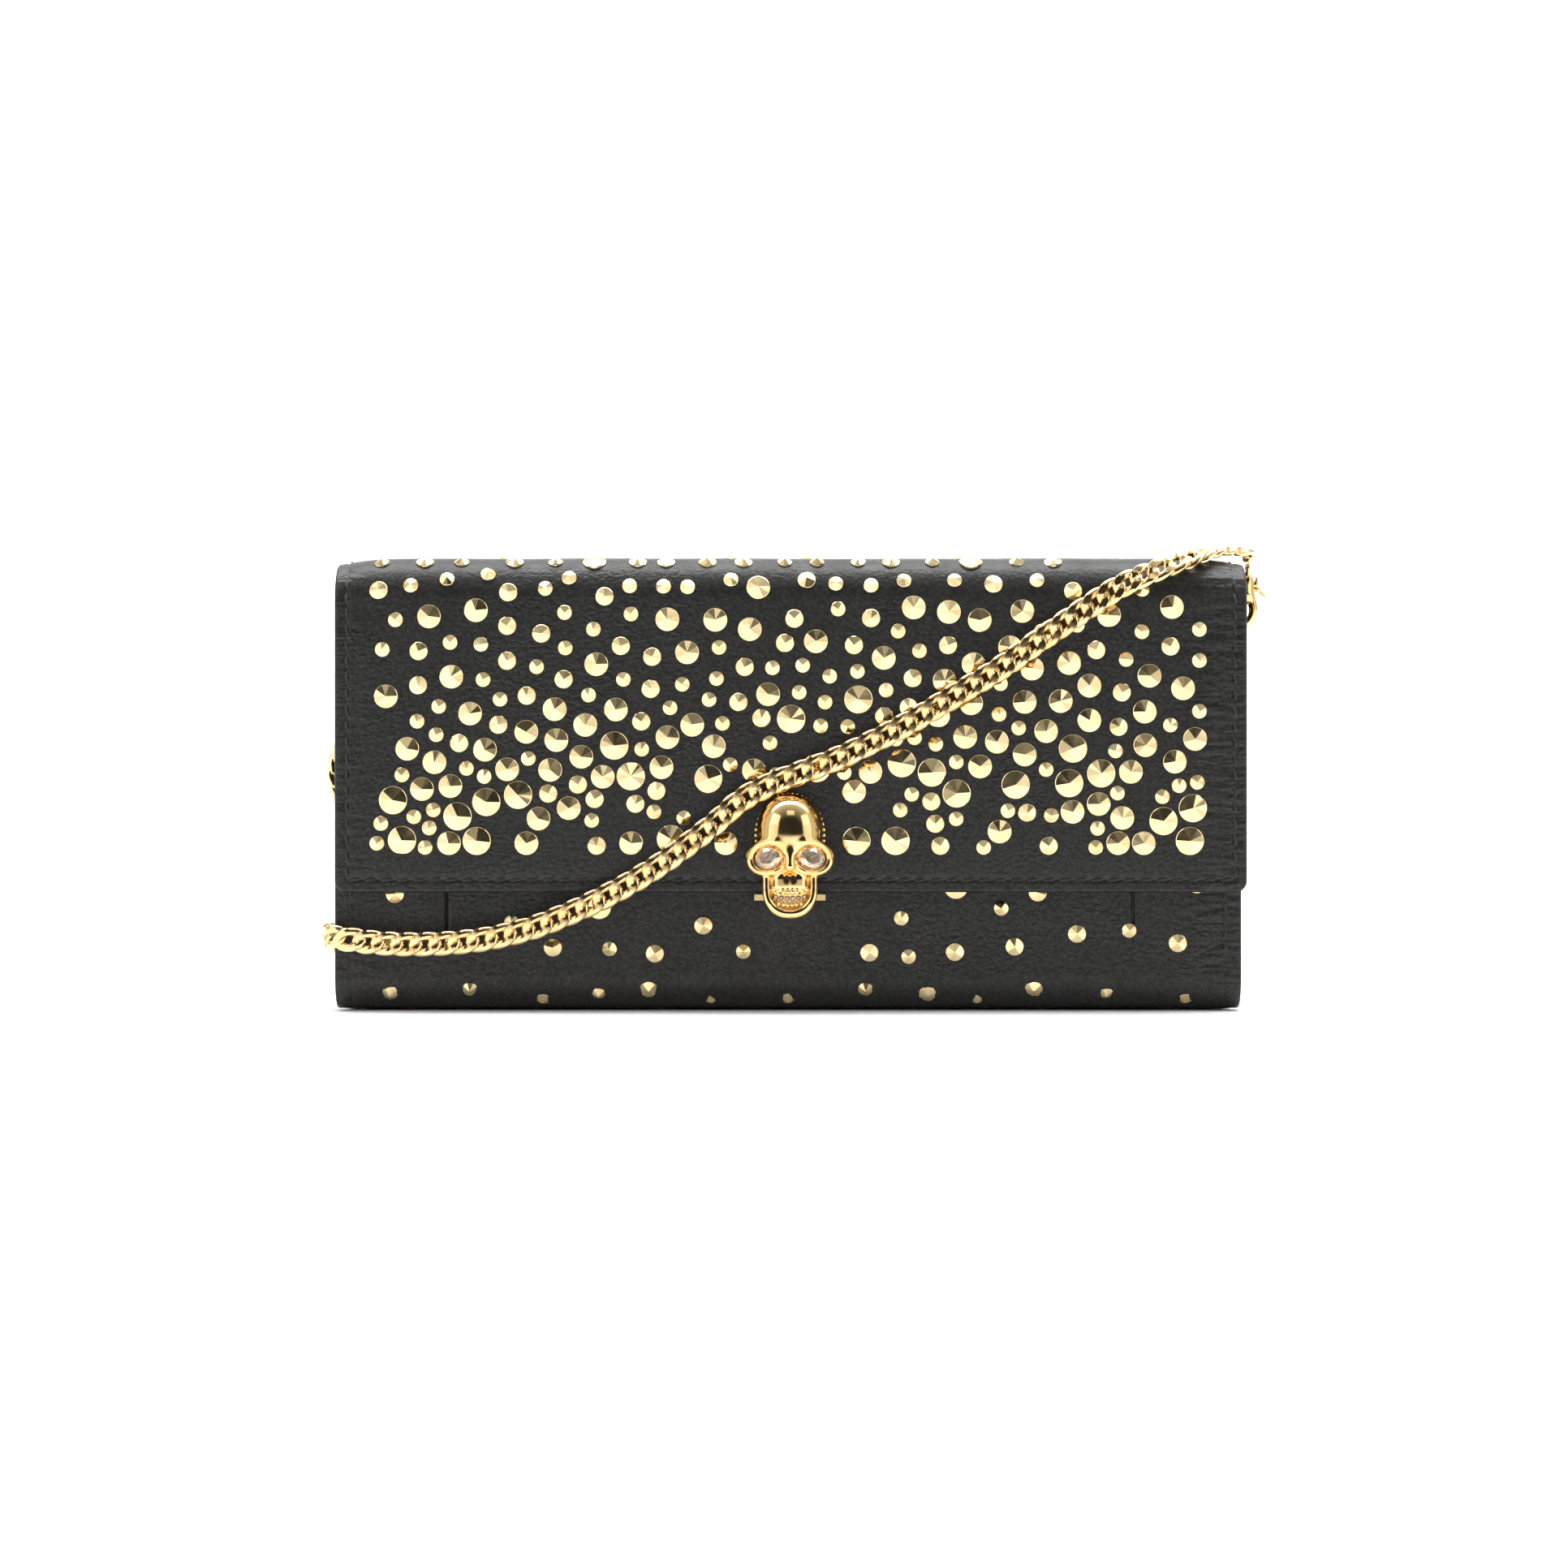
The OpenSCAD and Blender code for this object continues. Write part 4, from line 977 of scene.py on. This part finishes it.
def stud_seat(points):
    """Where a CAD stud sits, which way it points and how wide it is."""
    axis = outward_at((points.max(0) + points.min(0)) / 2)
    across = np.array([1.0, 0, 0])
    other = np.cross(axis, across)
    h, u, v = points @ axis, points @ across, points @ other
    seat = (u.max() + u.min()) / 2 * across + (v.max() + v.min()) / 2 * other + (h.min() + SHANK) * axis
    return seat, axis, (u.max() - u.min()) / 2, h.max() - h.min() - SHANK


def faceted_stud(seat, axis, radius, height, facets, tip):
    """A stud with a round rim and flat, slightly uneven facets that meet at its tip.
    Its foot is in the leather."""
    across = unit(np.cross(axis, np.array([1.0, 0.02, 0.01])))
    other = np.cross(axis, across)
    count = facets * 4
    angles = rng.uniform(0, 6.28) + 2 * math.pi * np.arange(count) / count
    ridge = 0.36 + rng.normal(0, 0.09, facets) * radius / 2 + np.where(np.arange(facets) % 2, 0.045, -0.045)
    rim = np.empty(count)
    edge = radius * 0.95
    round_x, round_y = edge * np.cos(angles), edge * np.sin(angles)
    for f in range(facets):
        i, j = 4 * f, (4 * f + 4) % count
        a = np.array([round_x[i], round_y[i], ridge[f] - height])
        b = np.array([round_x[j], round_y[j], ridge[(f + 1) % facets] - height])
        slope = np.cross(a, b)
        for k in range(i, i + 4):
            rim[k] = max(0.1, height - (slope[0] * round_x[k] + slope[1] * round_y[k]) / slope[2])
    levels = [(radius * 0.97, np.full(count, -0.4)), (radius, np.full(count, 0.03)), (radius, rim - 0.09),
              (edge, rim), (tip, rim + (height - rim) * (1 - tip / edge))]
    ring = np.cos(angles)[:, None] * across + np.sin(angles)[:, None] * other
    points = np.vstack([seat + h[:, None] * axis + r * ring for r, h in levels])
    return points, ring_faces(len(levels), count)


def make_studs():
    for name, body, facets in (
        ("studs_extra_large", "flap_front", 12), ("studs_large", "flap_front", 10),
        ("studs_medium", "flap_front", 8), ("studs_small", "flap_front", 8),
        ("studs_front", "front", 8), ("studs_spine", "flap_spine", 8),
        ("studs_back", "root", 10), ("studs_base", "root", 8), ("studs_roll", "root", 8),
    ):
        parts = []
        for solid in loose_parts(name):
            seat, axis, radius, height = stud_seat(solid)
            if name == "studs_base":
                parts.append(faceted_stud(seat, axis, radius, height, facets, 0.4))
                continue
            tilted = unit(axis + rng.normal(0, 0.02, 3))
            lift = 0.1 * axis if body == "flap_front" else 0
            taller = height * rng.uniform(0.94, 1.04)
            parts.append(faceted_stud(seat + lift, tilted, radius, taller, facets, 0.05))
        points, faces = joined(parts)
        if body.startswith("flap"):
            points = top_drop(points)
        make_piece(name + "_faceted", points, faces, STUD_GOLD, body, "stud_gold", smooth=False,
                   replaced=[name])


make_studs()


# ---- skull lock ----

def jaw_line(x, z):
    """1 on the U of the jaw, seen from the front, and more outside it."""
    return (np.abs(x / 5.15) ** 2.4 + np.abs((np.minimum(z, 28) - 28) / 6.2) ** 2.4) ** (1 / 2.4)


def past_jaw(x, z):
    """About how far a point lies outside the jaw's U, in millimetres."""
    return (jaw_line(x, z) - 1) * 5.4


def case_field(p):
    """The lock's case, rounded to stay behind the jaw: hollow, open for the post and for the two tabs."""
    outer = np.maximum(brick(p, (0, 0.3, 23.8), (5, 1.9, 2.3), 0.35), past_jaw(p[..., 0], p[..., 2]) - 0.45)
    hollow = brick(p, (0, 0.25, 24.6), (4.4, 1.35, 2.5), 0.1)
    slots = brick(p, (0, 0.95, 26), (6, 0.75, 1.7), 0.1)
    way_in = brick(p, (0, -1.5, 23.1), (1.7, 1.2, 2.6), 0.1)
    return np.maximum(outer, -np.minimum(np.minimum(hollow, slots), way_in))


def skull_field(p):
    """A generic skull: p is in X, distance out from the flap, and Z."""
    q = p.copy()
    q[..., 0] = np.abs(p[..., 0])
    x, y, z = q[..., 0], q[..., 1], q[..., 2]
    shape = boxy_ball(q, (0, 2.0, 38.9), (7.35, 7.2, 9.0), 2.15)
    shape = blend_in(shape, ball(q, (0, 3.2, 34.6), (7.0, 4.2, 5.0)), 1.2)
    rim = np.sqrt(((x - 4.65) / 4.15) ** 2 + ((z - 34.1 + 0.12 * (x - 4.6)) / 3.45) ** 2)
    rim = np.sqrt(((rim - 1) * 3.8) ** 2 + ((y - 7.15 + 0.42 * np.maximum(x - 3.4, 0)) * 0.8) ** 2) - 0.84
    shape = blend_in(shape, rim, 1.1)
    shape = blend_in(shape, rod(q, (0, 7.6, 37.0), (0, 8.9, 32.2), 0.9, 1.2), 0.9)
    shape = blend_in(shape, brick(q, (0, 5.5, 28.6), (3.7, 2.2, 2.3), 1.5), 1.1)
    shape = carve(shape, ball(q, (4.65, 9.0, 34.0), (3.35, 3.9, 2.75)), 0.4)
    shape = carve(shape, ball(q, (0.8, 9.5, 29.7), (0.62, 1.9, 1.2)), 0.35)
    shape = carve(shape, rod(q, (3.3, 9.2, 30.6), (4.9, 7.2, 28.0), 0.7, 0.85), 0.5)
    bow = past_jaw(x, z)
    jaw = np.maximum(bow - 0.6, np.maximum(np.abs(y - 3.9) - 1.9, z - 31))
    edge = np.sqrt(bow**2 + ((y - 6.6 + 0.10 * np.maximum(z - 24, 0)) * 0.9) ** 2) - 0.98
    jaw = blend_in(jaw, np.maximum(edge, z - 30.5), 0.6)
    shape = blend_in(shape, jaw, 0.35)
    for i in range(4):
        upper = ball(q, (0.52 + i * 1.03, 7.55 - 0.11 * i * i, 26.55 + 0.07 * i * i), (0.5, 0.5, 0.72))
        lower = ball(q, (0.5 + i * 0.95, 7.2 - 0.13 * i * i, 23.75 + 0.1 * i * i), (0.45, 0.5, 0.6))
        shape = blend_in(blend_in(shape, upper, 0.18), lower, 0.18)
    smile = q - np.stack([0 * x, 0 * x, 0.045 * x * x], -1)
    shape = carve(shape, brick(smile, (0, 8.0, 25.05), (4.3, 1.7, 0.66), 0.35), 0.2)
    for angle in np.linspace(-8, 86, 13):
        a = math.radians(angle)
        shape = blend_in(shape, ball(q, (7.35 * math.cos(a), 2.1, 38.9 + 8.9 * math.sin(a)), 0.56), 0.14)
        shape = blend_in(shape, ball(q, (6.75 * math.cos(a), 4.0, 38.9 + 8.3 * math.sin(a)), 0.42), 0.12)
    for angle in np.linspace(4, 88, 11):
        a = math.radians(angle)
        shape = blend_in(shape, ball(q, (5.9 * math.cos(a), 5.3, 28 - 6.95 * math.sin(a)), 0.42), 0.12)
    return np.maximum(shape, np.where(z < 26.7, 2.25, 0.1) - y)


def plate_field(p):
    """The catch plate, cut to stay behind the jaw: p is in X, distance out from the front panel, and Z."""
    plate = brick(p, (0, 0.4, 24.2), (4.5, 0.4, 3.0), 0.25)
    plate = np.maximum(plate, past_jaw(p[..., 0], p[..., 2]) + 0.3)
    return np.maximum(plate, 1.25 - np.hypot(p[..., 0], p[..., 2] - 24.2))


def to_flap(points):
    """From the skull's own X, distance out and Z to the wallet's frame."""
    return np.stack([points[:, 0] + SKULL_X, FLAP_Y - points[:, 1], points[:, 2]], 1)


def gem(centre, out, across, half_a, half_b, height, facets=12):
    """An oval cut stone: a flat table, a ring of kites and a girdle."""
    up = np.cross(out, across)
    points, faces = [], []
    for scale, h, shift in ((1.0, -0.5, 0), (1.0, 0.0, 0), (0.82, 0.55, 0.5), (0.52, 1.0, 0)):
        for k in range(facets):
            a = 2 * math.pi * (k + shift) / facets
            around = half_a * math.cos(a) * across + half_b * math.sin(a) * up
            points.append(centre + out * h * height + scale * around)
    for ring in range(3):
        for k in range(facets):
            a, b = ring * facets + k, ring * facets + (k + 1) % facets
            c, d = b + facets, a + facets
            if ring == 0:
                faces.append((a, b, c, d))
            elif ring == 1:
                faces += [(a, b, d), (b, c, d)]
            else:
                faces += [(a, b, c), (a, c, d)]
    faces += [tuple(range(3 * facets, 4 * facets)), tuple(reversed(range(facets)))]
    return np.array(points), faces


def make_skull():
    points, faces = surface_net(skull_field, (-10, -0.4, 20), (10, 11.2, 48.8), 0.16)
    make_piece("skull_lock", to_flap(points), flipped(faces), BRIGHT_GOLD, "flap_front", "polished_gold",
               replaced=["skull_head"])
    points, faces = surface_net(case_field, (-5.6, -2, 20.9), (5.6, 2.7, 26.8), 0.16)
    make_piece("lock_housing", to_flap(points), flipped(faces), STEEL, "flap_front", "steel",
               replaced=["lock_case"], split=35)
    points, faces = surface_net(plate_field, (-5, -0.3, 20.8), (5, 1.1, 27.6), 0.16)
    points = points * [1, -1, 1] + [SKULL_X, FRONT_Y, 0]
    make_piece("catch_plate_rounded", points, flipped(faces), BRIGHT_GOLD, "front", "polished_gold",
               replaced=["catch_plate"], split=35)
    parts = []
    for side in (-1, 1):
        out = unit(np.array([side * 0.3, -1.0, 0.05]))
        across = unit(np.array([1.0, side * 0.3, -side * 0.2]))
        across = unit(across - out * (across @ out))
        centre = np.array([SKULL_X + side * 4.65, FLAP_Y - 6.7, 34.0])
        parts.append(gem(centre, out, across, 3.3, 2.65, 1.4, 16))
    make_piece("eye_gems", *joined(parts), STONE, "flap_front", "crystal", smooth=False,
               replaced=["eye_stones"])
    parts = []
    for i in range(6):
        x = (i - 2.5) * 1.25
        centre = np.array([SKULL_X + x, FLAP_Y - 6.75 + 0.09 * x * x, 25.05 + 0.045 * x * x])
        parts.append(gem(centre, np.array([0, -1.0, 0]), np.array([1.0, 0, 0]), 0.56, 0.56, 0.55, 8))
    make_piece("tooth_gems", *joined(parts), STONE, "flap_front", "crystal", smooth=False,
               replaced=["tooth_stones"])


def make_springs():
    """The two small coils behind the release tabs."""
    turns, coil_r, wire_r, steps, sides = 5, 0.38, 0.11, 120, 8
    t = np.linspace(0, 1, steps + 1)
    turn = 2 * math.pi * turns * t
    for side, word in ((-1, "left"), (1, "right")):
        line = np.stack([SKULL_X + side * (1.15 + 2.05 * t), FLAP_Y - 1.05 + coil_r * np.cos(turn),
                         22.9 + coil_r * np.sin(turn)], 1)
        tangent = unit(np.gradient(line, axis=0))
        across = unit(np.cross(tangent, np.array([1.0, 0, 0])))
        other = np.cross(across, tangent)
        angles = 2 * math.pi * np.arange(sides)[:, None] / sides
        rings = line[:, None] + wire_r * (np.cos(angles) * across[:, None] + np.sin(angles) * other[:, None])
        made = make_piece(f"latch_spring_{word}", rings.reshape(-1, 3), ring_faces(steps + 1, sides), STEEL,
                          "flap_front", "steel", replaced=["latch_springs"] if side < 0 else [])
        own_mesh(made)


make_skull()
make_springs()


# ---- clasps ----

def hook_field(p):
    """The clasp's body and hook: p is in X, Y and Z from the ring's wire."""
    x, y, z = p[..., 0], p[..., 1], p[..., 2]
    around = np.sqrt(x**2 + (z - 2.5) ** 2) - 4.05
    thick = 0.82 + 0.22 * smoothstep(-2, 5, z)
    ring = np.sqrt(around**2 + (y * 0.82) ** 2) - thick
    gate = (x < 0.5) & (z > -1.2 + 0.35 * (x + 4)) & (z < 6.2)
    gap = np.minimum(np.minimum(0.5 - x, z + 1.2 - 0.35 * (x + 4)), 6.2 - z)
    ring = np.where(gate, np.maximum(ring, gap), ring)
    body = rod(p * np.array([1, 1.25, 1]), (2.2, 0, 6.0), (2.75, 0, 9.0), 2.3, 1.3)
    body = blend_in(body, rod(p, (-1.6, 0, 6.6), (2.0, 0, 6.9), 0.8, 1.4), 0.8)
    body = blend_in(body, rod(p, (4.6, 0, 8.0), (4.9, 0, 9.6), 0.6, 0.22), 0.5)
    shape = blend_in(ring, body, 0.7)
    slot = brick(p, (0, 0, 6.9), (3.0, 0.62, 1.6), 0.1)
    return np.maximum(shape, -slot)


def trigger_field(p):
    shape = rod(p, (-3.95, 0, 1.2), (-3.3, 0, 5.4), 0.42, 0.5)
    shape = blend_in(shape, rod(p, (-3.3, 0, 5.4), (1.3, 0, 7.6), 0.5, 0.62), 0.4)
    shape = blend_in(shape, rod(p, (1.3, 0, 7.6), (5.0, 0, 6.9), 0.62, 0.55), 0.4)
    return blend_in(shape, rod(p, (5.0, 0, 6.9), (6.75, 0, 5.3), 0.55, 0.2), 0.3)


def swivel_field(p):
    stem = rod(p, (2.8, 0, 9.2), (2.8, 0, 10.9), 0.5)
    stem = blend_in(stem, ball(p, (2.8, 0, 10.2), (0.85, 0.85, 0.3)), 0.1)
    y, z = p[..., 1], p[..., 2] - 11.7
    eye = np.sqrt((np.sqrt(y**2 + z**2) - 1.2) ** 2 + (p[..., 0] - 2.8) ** 2) - 0.45
    return blend_in(stem, eye, 0.25)


def make_clasps():
    shapes = [
        ("hook", hook_field, (-6, -2, -3), (7, 2, 11.5), "clasp"),
        ("trigger", trigger_field, (-6, -1.4, 0), (8, 1.4, 9), "clasp_trigger"),
        ("swivel", swivel_field, (1.4, -2.2, 8.2), (4.2, 2.2, 14), "clasp_swivel"),
    ]
    for name, field, low, high, node_name in shapes:
        points, faces = surface_net(field, low, high, 0.13)
        for side, turn in (("right", 1), ("left", -1)):
            bar = joint_at(f"clasp_{side}_swing")
            placed = points * np.array([turn, 1, turn]) + bar
            body = {"hook": "clasp", "trigger": "trigger", "swivel": "swivel"}[name] + "_" + side
            make_piece(f"clasp_{name}_{side}", placed, flipped(faces), BRIGHT_GOLD, body, "polished_gold",
                       replaced=[f"{node_name}_{side}"])


make_clasps()


# ---- inside leather ----

def upright(y, low, high, facing):
    """The profile of an upright sheet that faces -Y or +Y, and which of its ends is the top."""
    return ([(y, high), (y, low)], "start") if facing < 0 else ([(y, low), (y, high)], "end")


def flat_panel(name, cad_node, body, low_z, thick, facing, corner=0.0, edge=0.2):
    """An upright lining sheet with rounded edges in place of a flat CAD node, facing -Y or +Y."""
    low, high = corners(cad_node)
    profile, top = upright(low[1] if facing < 0 else high[1], low_z or low[2], high[2], facing)
    points, faces = panel(profile, high[0] - low[0], (low[0] + high[0]) / 2, thick, edge, step=2.5,
                          corner=corner, corner_end=top,
                          raised=lambda x, s, length, d: soft_waves(x, s, 0.04) * smoothstep(0, 4, d))
    make_piece(name, points, faces, SMOOTH_LEATHER, body, "lining", replaced=[cad_node])


def card_leaves(name, cad_node, body, facing, count, thick, step):
    """Card slots in steps, as one piece of thin leather leaves with rounded top corners."""
    low, high = corners(cad_node)
    parts = []
    for side in (-1, 1):
        for i in range(count):
            y = low[1] + thick * (i + 1) if facing > 0 else high[1] - thick * (i + 1)
            profile, end = upright(y, low[2], high[2] - step * i, facing)
            parts.append(panel(profile, 84, side * 45, thick * 0.94, 0.16, step=3.0, corner=3.0,
                               corner_end=end,
                               raised=lambda x, s, length, d: 0.03 * np.sin(x * 0.2) * smoothstep(0, 5, d)))
    make_piece(name, *joined(parts), SMOOTH_LEATHER, body, "lining", replaced=[cad_node])


def make_inside():
    flat_panel("back_inside_lining", "back_lining", "root", None, 0.48, -1, corner=2)
    flat_panel("front_inside_lining", "front_lining", "front", None, 0.48, 1, corner=2)
    card_leaves("back_card_slots", "card_leaves_back", "root", -1, 4, 0.5, 12)
    card_leaves("front_card_slots", "card_leaves_front", "front", 1, 3, 0.4, 12)
    flat_panel("coin_wall_front", "coin_pocket_front", "root", 4.3, 0.78, -1, edge=0.3)
    flat_panel("coin_wall_back", "coin_pocket_back", "root", 4.3, 0.78, 1, edge=0.3)


make_inside()


def make_pocket():
    """The coin pocket's floor and ends, and the two tapes of its zip."""
    low, high = corners("coin_pocket_base")
    points, faces = panel([(low[1], low[2]), (high[1], low[2])], high[0] - low[0], 0, 0.78, 0.25, step=1.5,
                          raised=lambda x, s, length, d: soft_waves(x, s, 0.06) * smoothstep(0, 3, d))
    make_piece("coin_floor", points, faces, SMOOTH_LEATHER, "root", "lining", replaced=["coin_pocket_base"])

    low, high = corners("coin_pocket_ends")
    parts = []
    for side in (-1, 1):
        p, f = panel([(0, high[2]), (0, low[2])], high[1] - low[1], (high[1] + low[1]) / 2, 0.88, 0.3,
                     step=1.4, corner=1.2, corner_end="start",
                     raised=lambda x, s, length, d: soft_waves(x, s, 0.05) * smoothstep(0, 3, d))
        placed = np.stack([side * (high[0] - p[:, 1]), p[:, 0], p[:, 2]], 1)
        parts.append((placed, f if side > 0 else flipped(f)))
    make_piece("coin_ends", *joined(parts), LEATHER, "root", "leather", replaced=["coin_pocket_ends"])

    low, high = corners("zip_tapes")
    parts = []
    for y0, y1 in ((low[1], -0.9), (1.7, high[1])):
        parts.append(panel([(y0, low[2]), (y1, low[2])], high[0] - low[0], 0, 0.56, 0.12, step=1.2,
                           raised=lambda x, s, length, d: 0.05 * np.sin(x * 0.31) * smoothstep(0, 1.2, d)))
    make_piece("zip_tape_pair", *joined(parts), TAPE, "root", "zip_tape", replaced=["zip_tapes"])


def make_ring_straps():
    """A folded leather strap at each end: up the pocket's end, round the ring's bar and back under itself."""
    low, high = corners("ring_tabs")
    bar = joint_at("ring_right_swing")[[0, 2]]
    plate_x = 87.5
    up = [(plate_x, low[2] + 0.2), (plate_x, 80.0), (plate_x + 0.1, 83.0), (88.6, 85.6), (90.3, 87.4)]
    turn = arc(bar, 1.3, 120, -120, 15)
    back = [(90.6, 85.4), (89.5, 84.0), (88.8, 82.7), (88.6, 81.2)]
    line = curve_through(up + turn + back, 8)
    parts = []
    for side in (-1, 1):
        p, f = panel(line.tolist(), high[1] - low[1], (high[1] + low[1]) / 2, 0.45, 0.25, step=0.7,
                     raised=lambda x, s, length, d: 0.45 + pressed(d, 0.8, 0.06))
        placed = np.stack([side * p[:, 1], p[:, 0], p[:, 2]], 1)
        parts.append((placed, f if side < 0 else flipped(f)))
    make_piece("ring_straps", *joined(parts), LEATHER, "root", "leather", replaced=["ring_tabs"])


make_pocket()
make_ring_straps()


def gusset(side, stops, z0, z1, thick=0.7):
    """A pleated side: a leather strip through the stops in X and Y, run up Z."""
    stops = np.array(stops, float)
    line = curve_through(stops, 10)
    tangent = unit(np.gradient(line, axis=0))
    out = np.stack([tangent[:, 1], -tangent[:, 0]], 1)
    zs = np.unique(np.concatenate([z0 + border_steps(0.5), z1 - border_steps(0.5), np.linspace(z0, z1, 26)]))
    rows, points = len(line), []
    for offset in (thick / 2, -thick / 2):
        for z in zs:
            soft = 0.35 * math.sin(z * 0.13) * np.sin(np.linspace(0, math.pi, rows))
            x, y = line[:, 0] + out[:, 0] * offset + soft, line[:, 1] + out[:, 1] * offset
            points.append(np.column_stack([side * x, y, np.full(rows, z)]))
    faces = sheet_faces(len(zs), rows)
    return np.vstack(points), faces if side < 0 else flipped(faces)


def make_gussets():
    pocket_x = corners("coin_pocket_ends")[1][0]
    for side, word in ((-1, "left"), (1, "right")):
        stops = [(pocket_x + 0.5, -3.1), (92, -4.6), (97.0, -5.4), (97.6, -6.1), (96.6, -6.8), (91.5, -7.4),
                 (90.8, -8.0), (92.4, -8.7), (98.2, -9.3)]
        points, faces = gusset(side, stops, 10.5, 86)
        made = make_piece(f"front_gusset_{word}", points, faces, LEATHER, None, "leather",
                          replaced=["gussets_front"] if side < 0 else [])
        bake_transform(made)
        stops = [(pocket_x + 0.5, 3.9), (93, 5.2), (97.4, 6.3), (97.6, 7.2), (95, 8.3), (92.2, 9.2),
                 (93.6, 10.3), (97.8, 11.0)]
        points, faces = gusset(side, stops, 9.5, 86)
        make_piece(f"back_gusset_{word}", points, flipped(faces), LEATHER, "root", "leather",
                   replaced=["gussets_back"] if side < 0 else [])


make_gussets()


# ---- CAD nodes that stay ----

def dress(names, material, bevel=0.0):
    """Gives CAD nodes their material, and rounds their edges."""
    for name in names:
        made = frame["nodes"][name]
        made.data.materials.clear()
        made.data.materials.append(material)
        if bevel:
            rounding = made.modifiers.new("rounding", "BEVEL")
            rounding.width, rounding.segments, rounding.limit_method = bevel * MM, 2, "ANGLE"
            rounding.angle_limit = math.radians(35)
            rounding.harden_normals = False


dress(["flap_board", "front_board"], BOARD, 0.08)
dress(["zip_teeth", "zip_stops"], BRIGHT_GOLD, 0.12)
dress(["zip_slider", "zip_pull", "catch_post", "release_tab_left", "release_tab_right"], BRIGHT_GOLD, 0.14)
dress(["d_ring_left", "d_ring_right", "ring_rivets"], BRIGHT_GOLD)
dress(["lock_backplate", "lock_screws", "catch_backplate"], STEEL, 0.05)
